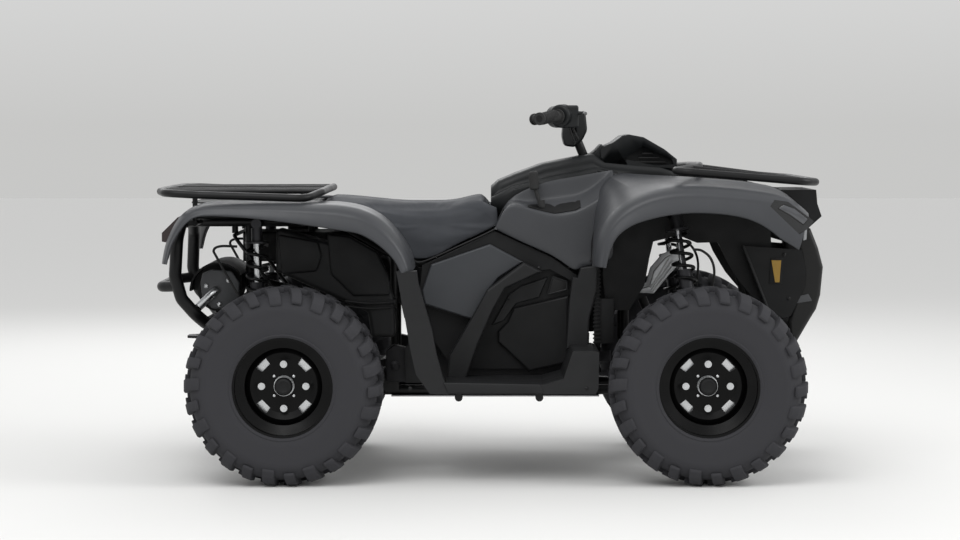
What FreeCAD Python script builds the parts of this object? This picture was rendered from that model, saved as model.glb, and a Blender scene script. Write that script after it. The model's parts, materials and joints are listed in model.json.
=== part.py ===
"""Quad bike with racks, one seat, double-arm front end and trailing-arm rear end.

+X points forward, +Y to the rider's left and +Z up.  The origin lies on the
ground, under the middle of the overall length.  All lengths are millimetres.
"""
import FreeCAD, Part
import math
import os

import Sketcher
from FreeCAD import Placement, Rotation, Vector

DRIVING_SIZES = (
    ("wheelbase", 1310, "front axle to rear axle"),
    ("rear_reach", 431, "rear axle to the tail of the rear bar"),
    ("front_reach", 391, "front axle to the nose of the bumper"),
    ("overall_width", 1168, "outer wall to outer wall of the tyres"),
    ("tyre_dia", 614, "outside diameter over the lugs, loaded"),
    ("rear_tyre_width", 254, "section width of a rear tyre"),
    ("front_tyre_width", 203, "section width of a front tyre"),
    ("lug_height", 17, "tread block above the carcass"),
    ("lug_count", 18, "tread blocks on each side of a tyre"),
    ("tyre_wall", 14, "thickness of the tyre's carcass"),
    ("rim_dia", 305, "bead seat diameter"),
    ("rim_lip", 12, "height of the rim's edge above the bead seat"),
    ("rim_wall", 4, "thickness of the rim's sheet"),
    ("rim_well_dia", 248, "drop centre of the rim"),
    ("bolt_circle", 137, "circle of the wheel nuts"),
    ("nut_dia", 22, "across a wheel nut"),
    ("hub_bore_dia", 64, "centre hole of the wheel disc"),
    ("frame_tube", 32, "main frame tube"),
    ("cross_tube", 26, "frame cross tube"),
    ("rail_span", 300, "lower frame rails, centre to centre"),
    ("rail_height", 259, "lower frame rails above the ground"),
    ("skid_gauge", 4, "skid plate thickness"),
    ("rack_tube", 24, "outer tube of a rack"),
    ("rack_bar", 16, "inner bar of a rack"),
    ("bar_dia", 22, "handlebar tube"),
    ("grip_dia", 34, "handlebar grip"),
    ("bar_span", 760, "handlebar, grip end to grip end"),
    ("bumper_tube", 40, "rear bumper tube"),
    ("body_wall", 5, "moulded panels"),
    ("fender_half", 510, "fender lip from the centre plane"),
    ("seat_width", 440, "across the seat at its widest"),
    ("spring_dia", 76, "outside of a coil spring"),
    ("spring_wire", 11, "spring wire"),
    ("spring_turns", 7, "turns of a coil spring"),
    ("shaft_dia", 26, "axle half shaft"),
    ("seat_gap", 0.3, "gap between pieces that rest on each other"),
    ("steer_rake", 22.5, "steering stem from upright, in degrees"),
    ("stem_length", 757, "steering stem from its foot to the bar clamp"),
    ("pitman_reach", 75, "stem axis to the inner tie rod eyes"),
)


class Size:
    """A length that carries its value and the sheet formula behind it."""

    def __init__(self, value, formula):
        self.value = float(value)
        self.formula = formula

    def __float__(self):
        return self.value

    def __neg__(self):
        return Size(-self.value, "(-1 * %s)" % self.formula)

    def __add__(self, other):
        return Size(self.value + float(other), "(%s + %s)" % (self.formula, formula_of(other)))

    def __radd__(self, other):
        return self + other

    def __sub__(self, other):
        return Size(self.value - float(other), "(%s - %s)" % (self.formula, formula_of(other)))

    def __rsub__(self, other):
        return -self + other

    def __mul__(self, factor):
        return Size(self.value * float(factor), "(%s * %s)" % (self.formula, formula_of(factor)))

    def __rmul__(self, factor):
        return self * factor

    def __truediv__(self, divisor):
        return Size(self.value / float(divisor), "(%s / %s)" % (self.formula, formula_of(divisor)))


def formula_of(number):
    """The sheet formula of a size, or the plain number as text."""
    return number.formula if isinstance(number, Size) else repr(float(number))


doc = FreeCAD.newDocument("quad_bike")
sheet = doc.addObject("Spreadsheet::Sheet", "Sizes")
for row, (alias, number, meaning) in enumerate(DRIVING_SIZES, start=1):
    sheet.set("A%d" % row, alias)
    sheet.set("B%d" % row, str(number))
    sheet.set("C%d" % row, meaning)
    sheet.setAlias("B%d" % row, alias)
doc.recompute()


def size(alias):
    """A driving size, read from its cell."""
    return Size(sheet.get(alias), "Sizes.%s" % alias)


WHEELBASE = size("wheelbase")
AXLE_HEIGHT = size("tyre_dia") / 2
# The axles stand either side of the middle of the overall length.
MIDDLE = (size("rear_reach") - size("front_reach")) / 2
FRONT_AXLE = MIDDLE + WHEELBASE / 2
REAR_AXLE = MIDDLE - WHEELBASE / 2
# Body heights are drawn for an axle at this height and move with the tyres.
DRAWN_AXLE_HEIGHT = 307
LIFT = AXLE_HEIGHT - DRAWN_AXLE_HEIGHT
REAR_TRACK_HALF = (size("overall_width") - size("rear_tyre_width")) / 2
FRONT_TRACK_HALF = (size("overall_width") - size("front_tyre_width")) / 2
WALL = size("body_wall")
GAP = size("seat_gap")
RAIL_HALF = size("rail_span") / 2
FENDER_HALF = size("fender_half")

# The ball joints of a front wheel stand this far inboard of the tyre's middle.
KINGPIN_INSET = 52.5
DISC_RADIUS = 103
KINGPIN_HALF = FRONT_TRACK_HALF - KINGPIN_INSET
BALL_RISE = 78
ARM_PIVOT_HALF = RAIL_HALF - 50 + size("frame_tube") / 2 + 15 + GAP

# The stem turns about a raked axis through its foot; lengths from the axle.
RAKE = math.radians(float(size("steer_rake")))
STEM_UP = Vector(-math.sin(RAKE), 0, math.cos(RAKE))
STEM_BACK = Vector(-math.cos(RAKE), 0, -math.sin(RAKE))
STEM_FOOT_X = -110
STEM_FOOT_Z = 396
PITMAN_EYE_X = STEM_FOOT_X - float(size("pitman_reach")) * math.cos(RAKE)
PITMAN_EYE_HALF = 50

made = {}


def front(offset):
    """A place measured forward from the front axle."""
    return FRONT_AXLE + offset


def rear(offset):
    """A place measured forward from the rear axle."""
    return REAR_AXLE + offset


def high(height):
    """A body height above the ground."""
    return LIFT + height


def vec(x, y, z):
    """A vector from plain numbers or sizes."""
    return Vector(float(x), float(y), float(z))


def keep(node, obj):
    """File an object under its node name."""
    obj.Label = node
    made[node] = obj
    return obj


def keep_shape(node, shape):
    """File a shape made with Part's own functions."""
    obj = doc.addObject("Part::Feature", node)
    obj.Shape = shape
    return keep(node, obj)


def mirrored(shape):
    """The shape seen in the centre plane."""
    return shape.mirror(Vector(0, 0, 0), Vector(0, 1, 0))


def both_sides(shape):
    """The shape and its mirror image, as two solids."""
    return Part.makeCompound([shape, mirrored(shape)])


def fuse_all(shapes):
    """One solid out of shapes that run into each other."""
    solid = shapes[0].multiFuse(shapes[1:])
    merged = solid.copy().removeSplitter()
    return merged if merged.isValid() else solid


def bent_path(points, bend):
    """Straight runs joined by tangent arcs of at most the given radius."""
    edges = []
    start = points[0]
    for before, corner, after in zip(points, points[1:], points[2:]):
        back = (before - corner).normalize()
        ahead = (after - corner).normalize()
        half = back.getAngle(ahead) / 2
        if math.pi / 2 - half < 0.01:
            continue
        room = 0.45 * min((before - corner).Length, (after - corner).Length)
        reach = min(room, bend / math.tan(half))
        radius = reach * math.tan(half)
        centre = corner + (back + ahead).normalize() * (radius / math.sin(half))
        enter = corner + back * reach
        leave = corner + ahead * reach
        crown = centre + (corner - centre).normalize() * radius
        edges.append(Part.LineSegment(start, enter).toShape())
        edges.append(Part.Arc(enter, crown, leave).toShape())
        start = leave
    edges.append(Part.LineSegment(start, points[-1]).toShape())
    return Part.Wire(edges)


def tube(points, diameter, bend=60.0):
    """A round bar bent through the points."""
    points = [vec(*point) for point in points]
    path = bent_path(points, bend)
    ring = Part.Wire(Part.makeCircle(float(diameter) / 2, points[0], points[1] - points[0]))
    return path.makePipeShell([ring], True, False)


def rod(start, end, diameter):
    """A straight round bar."""
    start, end = vec(*start), vec(*end)
    return Part.makeCylinder(float(diameter) / 2, (end - start).Length, start, end - start)


def plate_xz(outline, y_low, y_high):
    """A solid with a side outline of (x, z) points, between two planes."""
    low = float(y_low)
    points = [Vector(float(x), low, float(z)) for x, z in outline]
    face = Part.Face(Part.makePolygon(points + points[:1]))
    return face.extrude(Vector(0, float(y_high) - low, 0))


def plate_xy(outline, z_low, z_high):
    """A solid with a plan outline of (x, y) points, between two heights."""
    low = float(z_low)
    points = [Vector(float(x), float(y), low) for x, y in outline]
    face = Part.Face(Part.makePolygon(points + points[:1]))
    return face.extrude(Vector(0, 0, float(z_high) - low))


def plate_yz(outline, x_low, x_high):
    """A solid with a front outline of (y, z) points, between two planes."""
    low = float(x_low)
    points = [Vector(low, float(y), float(z)) for y, z in outline]
    face = Part.Face(Part.makePolygon(points + points[:1]))
    return face.extrude(Vector(float(x_high) - low, 0, 0))


def block(x_low, x_high, y_low, y_high, z_low, z_high):
    """A box between two corners."""
    low = vec(x_low, y_low, z_low)
    high_corner = vec(x_high, y_high, z_high)
    span = high_corner - low
    return Part.makeBox(span.x, span.y, span.z, low)


def offset_line(points, gauge):
    """The open polyline moved to its right-hand side by the gauge."""
    normals = []
    for (u0, v0), (u1, v1) in zip(points, points[1:]):
        run = math.hypot(u1 - u0, v1 - v0)
        normals.append(((v1 - v0) / run, (u0 - u1) / run))
    moved = []
    for index, (u, v) in enumerate(points):
        first = normals[max(index - 1, 0)]
        second = normals[min(index, len(normals) - 1)]
        share = 1 + first[0] * second[0] + first[1] * second[1]
        moved.append((u + gauge * (first[0] + second[0]) / share,
                      v + gauge * (first[1] + second[1]) / share))
    return moved


def rib(x, z, slope, outline):
    """A closed thin section across the vehicle, square to a sloping line.

    The outline's points are (y, n): n is measured square to the line.
    """
    wall = float(WALL)
    outer = [(float(y), float(n)) for y, n in outline]
    ring = outer + offset_line(outer, wall)[::-1]
    tilt = math.radians(slope)
    points = [Vector(float(x) - n * math.sin(tilt), y, float(z) + n * math.cos(tilt)) for y, n in ring]
    return Part.makePolygon(points + points[:1])


def section(x, outline):
    """A closed section across the vehicle with (y, z) points."""
    points = [vec(x, y, z) for y, z in outline]
    return Part.makePolygon(points + points[:1])


def loft(wires, ruled=False):
    """A solid through closed sections with equal numbers of corners."""
    return Part.makeLoft(wires, True, ruled)


def post_to(start, end, diameter, *carried):
    """A round support that stops at the faces of the nodes it carries."""
    post = rod(start, end, diameter)
    for node in carried:
        post = post.cut(made[node].Shape)
    root = Part.Vertex(vec(*start))
    return min(post.Solids, key=lambda solid: solid.distToShape(root)[0])


def largest(shape):
    """The largest solid of a shape that a cut may have split."""
    return max(shape.Solids, key=lambda solid: solid.Volume)


def strip_under(stations, y, gauge, deep):
    """An upright strip below a fender's inner edge; stations are (x, z, slope, rise)."""
    upper, lower = [], []
    for x, z, slope, rise in stations:
        tilt = math.radians(slope)
        for points, n in ((upper, rise - float(WALL) / 2), (lower, rise - deep)):
            points.append((x - n * math.sin(tilt), z + n * math.cos(tilt)))
    return plate_xz(upper + lower[::-1], y, y + gauge)


def rounded(shape, radius, picks):
    """Fillet the edges that the test picks."""
    edges = [edge for edge in shape.Edges if picks(edge)]
    return shape.makeFillet(float(radius), edges) if edges else shape


def runs_across(edge):
    """True for a straight edge along Y."""
    return len(edge.Vertexes) == 2 and abs(edge.tangentAt(edge.FirstParameter).y) > 0.999


def new_body(node):
    """An empty PartDesign body filed under its node name."""
    body = doc.addObject("PartDesign::Body", node)
    return keep(node, body)


def origin_feature(body, role):
    """One of the body's own origin planes or axes."""
    return [feature for feature in body.Origin.OriginFeatures if feature.Role == role][0]


def pin_down(sketch, index, end, point):
    """Hold one end of a sketch edge at a place taken from the sheet."""
    for kind, number in zip(("DistanceX", "DistanceY"), point):
        name = sketch.addConstraint(Sketcher.Constraint(kind, -1, 1, index, end, float(number)))
        if isinstance(number, Size):
            sketch.setExpression("Constraints[%d]" % name, number.formula)


def draw_polygon(sketch, points):
    """A closed outline in a sketch, each corner held by the sheet."""
    first = sketch.GeometryCount
    count = len(points)
    for index, start in enumerate(points):
        end = points[(index + 1) % count]
        line = Part.LineSegment(vec(start[0], start[1], 0), vec(end[0], end[1], 0))
        sketch.addGeometry(line, False)
    for index in range(count):
        after = first + (index + 1) % count
        sketch.addConstraint(Sketcher.Constraint("Coincident", first + index, 2, after, 1))
        pin_down(sketch, first + index, 1, points[index])


def draw_circle(sketch, centre, radius):
    """A circle in a sketch, held by the sheet."""
    circle = Part.Circle(vec(centre[0], centre[1], 0), Vector(0, 0, 1), float(radius))
    index = sketch.addGeometry(circle, False)
    pin_down(sketch, index, 3, centre)
    name = sketch.addConstraint(Sketcher.Constraint("Radius", index, float(radius)))
    if isinstance(radius, Size):
        sketch.setExpression("Constraints[%d]" % name, radius.formula)


def new_sketch(body, plane, name):
    """A sketch on one of the body's own origin planes."""
    sketch = body.newObject("Sketcher::SketchObject", name)
    sketch.AttachmentSupport = [(origin_feature(body, plane), "")]
    sketch.MapMode = "FlatFace"
    return sketch


def set_size(obj, prop, number):
    """Set a property, bound to the sheet where the number comes from it."""
    if isinstance(number, Size):
        obj.setExpression(prop, number.formula)
    else:
        setattr(obj, prop, number)


def revolve(body, points, name):
    """A full turn of an outline about the body's Y axis."""
    sketch = new_sketch(body, "YZ_Plane", name + "_outline")
    draw_polygon(sketch, points)
    feature = body.newObject("PartDesign::Revolution", name)
    feature.Profile = sketch
    feature.ReferenceAxis = (origin_feature(body, "Y_Axis"), [""])
    feature.Angle = 360
    return feature


def pattern_round(body, features, count, name):
    """Repeat features about the body's Y axis."""
    pattern = body.newObject("PartDesign::PolarPattern", name)
    pattern.Originals = features
    pattern.Axis = (origin_feature(body, "Y_Axis"), [""])
    pattern.Angle = 360
    set_size(pattern, "Occurrences", count)
    body.Tip = pattern
    return pattern


def place_wheel_part(body, x, side, half_track):
    """Put a wheel piece, drawn with its outer side at +Y, on its axle."""
    turn = Rotation(Vector(0, 0, 1), 0 if side > 0 else 180)
    body.Placement = Placement(vec(x, side * float(half_track), AXLE_HEIGHT), turn)
    x_place = x.formula
    body.setExpression("Placement.Base.x", x_place)
    body.setExpression("Placement.Base.y", (half_track * side).formula)
    body.setExpression("Placement.Base.z", AXLE_HEIGHT.formula)


def wedge_piece(outline, turn, reach):
    """A flat-faced slice of a ring, between two planes through the Y axis.

    The outline's points are (across, radius); the slice is as wide as the turn.
    """
    points = [vec(-reach, across, out) for across, out in outline]
    bar = Part.Face(Part.makePolygon(points + points[:1])).extrude(Vector(2 * reach, 0, 0))
    side = reach * math.tan(math.radians(turn) / 2)
    rim = [Vector(0, -reach, 0), Vector(-side, -reach, reach), Vector(side, -reach, reach)]
    wedge = Part.Face(Part.makePolygon(rim + rim[:1])).extrude(Vector(0, 2 * reach, 0))
    return bar.common(wedge)


def tyre_slice(width):
    """Section of a tyre where the +Y half carries a block, as (across, radius)."""
    half = width / 2
    radius = size("tyre_dia") / 2
    bead = size("rim_dia") / 2 + GAP
    base = radius - size("lug_height")
    wall = size("tyre_wall")
    return [
        (-half + 24, bead),
        (-half + 8, bead + 66),
        (-half + 30, base - 14),
        (half * 0.08, base),
        (half * 0.08, radius),
        (half - 30, radius - 4),
        (half, radius - 40),
        (half - 8, bead + 66),
        (half - 24, bead),
        (half - 24 - wall, bead),
        (half - 44 - wall / 2, base - wall - 8),
        (-half + 44 + wall / 2, base - wall - 8),
        (-half + 24 + wall, bead),
    ]


def tyre_solid(width):
    """A hollow tyre about the Y axis, its blocks staggered side to side."""
    count = round(float(size("lug_count")))
    turn = 180 / count
    reach = float(size("tyre_dia"))
    outer_slice = wedge_piece(tyre_slice(width), turn, reach)
    inner_slice = outer_slice.mirror(Vector(0, 0, 0), Vector(0, 1, 0))
    slices = []
    for index in range(count):
        for piece, angle in ((outer_slice, 2 * index), (inner_slice, 2 * index + 1)):
            copy = piece.copy()
            copy.rotate(Vector(0, 0, 0), Vector(0, 1, 0), angle * turn)
            slices.append(copy)
    return slices[0].multiFuse(slices[1:])


TYRES = {alias: tyre_solid(size(alias)) for alias in ("front_tyre_width", "rear_tyre_width")}


def make_tyre(node, x, side, half_track, width_alias):
    """A tyre on its axle, a block at its lowest point."""
    obj = keep_shape(node, TYRES[width_alias])
    turn = Rotation(Vector(0, 0, 1), 0 if side > 0 else 180)
    obj.Placement = Placement(vec(x, side * float(half_track), AXLE_HEIGHT), turn)
    return obj


def make_rim(node, x, side, half_track, width):
    """A sheet-steel wheel: flanged barrel, drop centre and pierced disc."""
    body = new_body(node)
    seat = size("rim_dia") / 2
    lip = seat + size("rim_lip")
    well = size("rim_well_dia") / 2
    wall = size("rim_wall")
    edge = width / 2 - 22
    disc = edge - 66
    bore = size("hub_bore_dia") / 2
    outline = [
        (edge + 2 + wall, lip),
        (edge + 2, lip),
        (edge - 2, seat),
        (edge - 26, seat),
        (edge - 40, well),
        (-edge + 40, well),
        (-edge + 26, seat),
        (-edge + 2, seat),
        (-edge - 2, lip),
        (-edge - 2 - wall, lip),
        (-edge + 2 - wall, seat - wall),
        (-edge + 26, seat - wall),
        (-edge + 40, well - wall),
        (disc - wall, well - wall),
        (disc - wall + 8, well - 20),
        (disc - wall, well - 40),
        (disc - wall, bore),
        (disc, bore),
        (disc, well - 40),
        (disc + 8, well - 20),
        (disc, well - wall),
        (edge - 40, well - wall),
        (edge - 26, seat - wall),
        (edge - 2 + wall, seat - wall),
    ]
    revolve(body, outline, "barrel")
    window = new_sketch(body, "XZ_Plane", "window_outline")
    draw_polygon(window, [(43, 68), (56, 86), (86, 56), (68, 43)])
    cut = body.newObject("PartDesign::Pocket", "window")
    cut.Profile = window
    cut.Type = 1
    cut.Midplane = True
    doc.recompute()
    pattern_round(body, [cut], 4, "windows")
    doc.recompute()
    holes = new_sketch(body, "XZ_Plane", "stud_hole_outline")
    draw_circle(holes, (Size(0, "0"), size("bolt_circle") / 2), size("nut_dia") / 2 - 3)
    drill = body.newObject("PartDesign::Pocket", "stud_hole")
    drill.Profile = holes
    drill.Type = 1
    drill.Midplane = True
    doc.recompute()
    pattern_round(body, [drill], 4, "stud_holes")
    place_wheel_part(body, x, side, half_track)
    return body


def make_hub(node, x, side, half_track, width):
    """A wheel hub with brake disc, studs with nuts and a centre cap."""
    disc = float(width) / 2 - 22 - 66
    back = disc - float(size("rim_wall")) - float(GAP)
    stud_r = float(size("bolt_circle")) / 2
    nut = float(size("nut_dia")) / 2
    axis = Vector(0, 1, 0)
    bore = float(size("hub_bore_dia")) / 2
    pieces = [
        Part.makeCylinder(80, 8, Vector(0, back - 8 - 4, 0), axis),
        Part.makeCylinder(DISC_RADIUS, 5, Vector(0, back - 17, 0), axis),
        Part.makeCylinder(bore - 2, 32, Vector(0, back - 12, 0), axis),
        Part.makeCylinder(32, 40, Vector(0, back - 52, 0), axis),
        Part.makeCone(bore - 6, bore - 12, 12, Vector(0, back + 20, 0), axis),
    ]
    for index in range(4):
        turn = math.radians(90 * index)
        spot = Vector(stud_r * math.sin(turn), 0, stud_r * math.cos(turn))
        pieces.append(Part.makeCylinder(nut - 4, 30, spot + Vector(0, back - 8, 0), axis))
        pieces.append(Part.makeCylinder(nut, 14, spot + Vector(0, disc + 1, 0), axis))
        pieces.append(Part.makeCylinder(nut + 3, 4 + float(GAP), spot + Vector(0, back - 4, 0), axis))
    solid = fuse_all(pieces)
    obj = keep_shape(node, solid)
    turn = Rotation(Vector(0, 0, 1), 0 if side > 0 else 180)
    obj.Placement = Placement(vec(x, side * float(half_track), AXLE_HEIGHT), turn)
    return obj


WHEELS = (
    ("front_right", FRONT_AXLE, -1, FRONT_TRACK_HALF, "front_tyre_width"),
    ("front_left", FRONT_AXLE, 1, FRONT_TRACK_HALF, "front_tyre_width"),
    ("rear_right", REAR_AXLE, -1, REAR_TRACK_HALF, "rear_tyre_width"),
    ("rear_left", REAR_AXLE, 1, REAR_TRACK_HALF, "rear_tyre_width"),
)

for corner_name, axle_x, wheel_side, track_half, width_alias in WHEELS:
    make_tyre("tyre_" + corner_name, axle_x, wheel_side, track_half, width_alias)
    make_rim("rim_" + corner_name, axle_x, wheel_side, track_half, size(width_alias))
    make_hub("hub_" + corner_name, axle_x, wheel_side, track_half, size(width_alias))
doc.recompute()


BUMPER_HALF = RAIL_HALF + 82
SEAT_RAIL_HEIGHT = high(803)
SHOCK_TOP_FRONT = (front(-85), RAIL_HALF + 110, high(838))
SHOCK_TOP_REAR = (rear(-102), RAIL_HALF + 122, high(800))
EYE_HALF = 18
ARM_TOP = 372
RACK_LEG_X = (rear(-290), rear(50))
RACK_LEG_HALF = RAIL_HALF + 180
CONSOLE_HALF = 150
FRAME_JOINT_X = (front(-560) + rear(660)) / 2


def make_frame():
    """Tube frame with posts, shock towers and arm brackets, in three joined sections."""
    main = size("frame_tube")
    cross = size("cross_tube")
    rail = high(size("rail_height"))
    seat_rail = SEAT_RAIL_HEIGHT
    half = RAIL_HALF
    side = [
        tube([(rear(300), half, rail), (front(-330), half, rail), (front(-215), half - 50, rail),
              (front(150), half - 50, rail), (front(215), half - 50, high(420)),
              (front(150), half - 40, high(640)), (front(60), half - 20, high(800))], main, 70),
        tube([(rear(302), half, rail), (rear(200), half - 40, high(300)), (rear(140), half - 45, high(395)),
              (rear(-160), half - 45, high(430)), (rear(-262), half - 10, high(440))], main, 50),
        tube([(rear(-330), half + 20, seat_rail), (rear(150), half + 20, seat_rail),
              (rear(330), half + 5, high(700)),
              (rear(560), half - 25, high(620)), (front(-500), half - 30, high(630)),
              (front(-190), half - 20, high(770)), (front(160), half - 20, high(790))], main, 80),
        rod((rear(330), half, rail), (rear(330), half + 5, high(705)), cross),
        rod((rear(-135), half - 43, high(430)), (rear(-135), half + 20, seat_rail), cross),
        rod((front(-235), half - 48, rail), (front(-235), half - 22, high(752)), cross),
        rod((front(-85), half - 20, high(780)), (front(-85), half + 60, SHOCK_TOP_FRONT[2]), cross),
        rod((front(-85), half + 50, SHOCK_TOP_FRONT[2]),
            (front(-85), SHOCK_TOP_FRONT[1] - EYE_HALF - GAP, SHOCK_TOP_FRONT[2]), main),
        rod((SHOCK_TOP_REAR[0], half + 20, SHOCK_TOP_REAR[2]),
            (SHOCK_TOP_REAR[0], SHOCK_TOP_REAR[1] - EYE_HALF - GAP, SHOCK_TOP_REAR[2]), main),
        rod((front(-130), half - 50, rail), (front(-130), ARM_PIVOT_HALF - 15 - GAP, rail), main),
        rod((front(130), half - 50, rail), (front(130), ARM_PIVOT_HALF - 15 - GAP, rail), main),
        plate_xz([(rear(345), rail), (rear(262), rail), (rear(256), high(300)), (rear(270), high(328)),
                  (rear(345), high(340))], half - 8, half + 44 - GAP),
    ]
    for x in RACK_LEG_X:
        side.append(rod((x, half + 20, seat_rail), (x, RACK_LEG_HALF + 8, seat_rail), size("rack_bar")))
    bar_z = high(282) - GAP - 12
    side += [
        rod((front(-235), half - 50, high(440)), (front(213), half - 50, high(440)), cross),
        rod((front(-105), half - 50, high(440)), (front(-105), ARM_PIVOT_HALF - 15 - GAP, high(440)), main),
        rod((front(105), half - 50, high(440)), (front(105), ARM_PIVOT_HALF - 15 - GAP, high(440)), main),
        rod((front(-100), half - 50, rail), (front(-100), half - 50, high(440)), cross),
        rod((rear(-180), half + 20, seat_rail), (rear(-180), half + 20, high(766) + GAP), 20),
        rod((rear(540), half - 10, bar_z), (rear(540), FENDER_HALF - 20, bar_z), 24),
        rod((front(-520), half - 10, bar_z), (front(-520), FENDER_HALF - 20, bar_z), 24),
        rod((rear(330), half + 3, high(520)), (rear(330), half + 42 - GAP, high(520)), 20),
        post_to((rear(120), half + 20, seat_rail), (rear(120), half + 20, high(860)), 24, "seat"),
        post_to((rear(480), half - 16, high(645)), (rear(480), half + 60, high(645)), 16, "side_trims"),
        post_to((front(-500), half - 30, high(630)), (front(-500), half + 30, high(630)), 16,
                "engine_covers"),
        post_to((rear(60), half - 60, seat_rail), (rear(60), half - 60, high(750)), 20, "air_box"),
        post_to((front(-400), half - 27, high(675)), (front(-400), half + 70, high(675)), 16, "body_sides"),
        post_to((front(-85), half - 70, high(780)), (front(-85), half - 70, high(830)), 20, "console"),
        post_to((front(-40), half - 20, high(778)), (front(-40), half + 92, high(905)), 16, "front_liners"),
        post_to((front(140), half - 20, high(788)), (front(140), half + 92, high(895)), 16, "front_liners"),
        post_to((front(196), half - 50, high(400)), (front(320), half + 40, high(470)), 26, "front_bumper"),
        post_to((front(150), half - 20, high(788)), (front(350), half + 40, high(730)), 26, "front_bumper"),
    ]
    middle = [
        post_to((rear(330), 0, high(680)), (rear(330), 0, high(790)), 26, "seat"),
        post_to((front(-500), 0, high(630)), (front(-560), 0, high(830)), 26, "console"),
        rod(stem_point(-GAP), stem_point(-26), 36),
    ]
    across = [
        (front(-100), half - 50, high(374), cross),
        (rear(470), half, rail, cross), (front(-480), half, rail, cross),
        (front(120), half - 50, rail, cross), (front(185), half - 50, high(340), cross),
        (rear(0), half - 45, high(413), cross), (rear(-262), half - 10, high(440), main),
        (rear(-300), half + 20, seat_rail, cross), (rear(60), half + 20, seat_rail, cross),
        (front(150), half - 20, high(790), cross), (front(-85), half - 20, high(780), cross),
        (front(-500), half - 30, high(630), cross), (front(140), half - 38, high(650), cross),
        (rear(330), half + 5, high(680), cross),
    ]
    pieces = side + [mirrored(piece) for piece in side] + middle
    pieces += [rod((x, -y, z), (x, y, z), gauge) for x, y, z, gauge in across]
    whole = fuse_all(pieces)
    floor_top = high(290)
    reach = size("overall_width")
    ahead, behind, above = WHEELBASE, -WHEELBASE, high(1000)
    keep_shape("frame", whole.common(block(behind, ahead, -reach, reach, -10, floor_top)))
    keep_shape("front_frame", whole.common(block(FRAME_JOINT_X, ahead, -reach, reach, floor_top, above)))
    keep_shape("rear_frame", whole.common(block(behind, FRAME_JOINT_X, -reach, reach, floor_top, above)))


def make_skid_plate():
    """Folded plate under the engine, its nose and tail turned up."""
    gauge = size("skid_gauge")
    top = high(size("rail_height")) - size("frame_tube") / 2 - GAP
    body = new_body("skid_plate")
    sketch = new_sketch(body, "XZ_Plane", "fold_outline")
    low = top - gauge
    nose = front(-320)
    tail = rear(320)
    draw_polygon(sketch, [(tail, low), (nose, low), (nose, top), (tail, top)])
    pad = body.newObject("PartDesign::Pad", "folded_plate")
    pad.Profile = sketch
    pad.Midplane = True
    set_size(pad, "Length", size("rail_span") + 36)
    doc.recompute()
    slots = new_sketch(body, "XY_Plane", "drain_slot_outline")
    for index in range(3):
        x = tail + 130 + 150 * index
        draw_polygon(slots, [(x, -50), (x + 34, -50), (x + 34, 50), (x, 50)])
    cut = body.newObject("PartDesign::Pocket", "drain_slots")
    cut.Profile = slots
    cut.Type = 1
    cut.Midplane = True
    doc.recompute()
    body.Tip = cut


def make_engine():
    """Engine and gearbox as one block with a leaning finned cylinder."""
    floor = high(size("rail_height")) + size("cross_tube") / 2 + GAP
    half = RAIL_HALF - size("frame_tube") / 2 - 6
    crankcase = plate_xz([
        (rear(440), floor), (front(-420), floor), (front(-390), floor + 60), (front(-400), floor + 190),
        (front(-520), floor + 250), (rear(520), floor + 250), (rear(440), floor + 180)], -half, half)
    crankcase = rounded(crankcase, 18, runs_across)
    cylinder = block(-60, 60, -70, 70, 0, 250)
    fins = [block(-72, 72, -82, 82, 60 + 18 * index, 68 + 18 * index) for index in range(6)]
    barrel = fuse_all([cylinder] + fins)
    barrel.rotate(Vector(0, 0, 0), Vector(0, 1, 0), -12)
    barrel.translate(vec((front(-500) + rear(560)) / 2, 0, floor + 180 - 100))
    keep_shape("engine", fuse_all([crankcase, barrel]))


def make_final_drives():
    """Front and rear gear cases with their flanges."""
    axis = Vector(0, 1, 0)
    half_wide = RAIL_HALF - 50 - size("frame_tube") / 2 - 8
    cases = []
    for x in (FRONT_AXLE, REAR_AXLE):
        wide = float(half_wide)
        drum = Part.makeCylinder(78, 2 * wide - 40, vec(x, -wide + 20, AXLE_HEIGHT), axis)
        neck = Part.makeCylinder(48, 2 * wide, vec(x, -wide, AXLE_HEIGHT), axis)
        nose = Part.makeCone(52, 34, 130, vec(x, 0, AXLE_HEIGHT), Vector(1 if x is REAR_AXLE else -1, 0, 0))
        if x is REAR_AXLE:
            ear_top = high(413) - size("cross_tube") / 2 - GAP
            ears = [block(x - 15, x + 15, -30, 30, AXLE_HEIGHT + 60, ear_top)]
        else:
            ear_half = RAIL_HALF - 50 - size("frame_tube") / 2 - GAP
            ears = [block(x - 22, x + 22, -ear_half, ear_half, high(250), high(268))]
        cases.append(fuse_all([drum, neck, nose] + ears))
    keep_shape("final_drives", Part.makeCompound(cases))


def hub_inner_face(width, half_track):
    """Where a hub's stub ends, measured from the centre plane."""
    return half_track + width / 2 - 22 - 66 - size("rim_wall") - GAP - 52


def hub_disc_face(width, half_track):
    """Inner face of a brake disc."""
    return half_track + width / 2 - 22 - 66 - size("rim_wall") - GAP - 17


def front_hub_face():
    """Inner end of a front hub."""
    return hub_inner_face(size("front_tyre_width"), FRONT_TRACK_HALF)


def rear_hub_face():
    """Inner end of a rear hub."""
    return hub_inner_face(size("rear_tyre_width"), REAR_TRACK_HALF)


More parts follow.
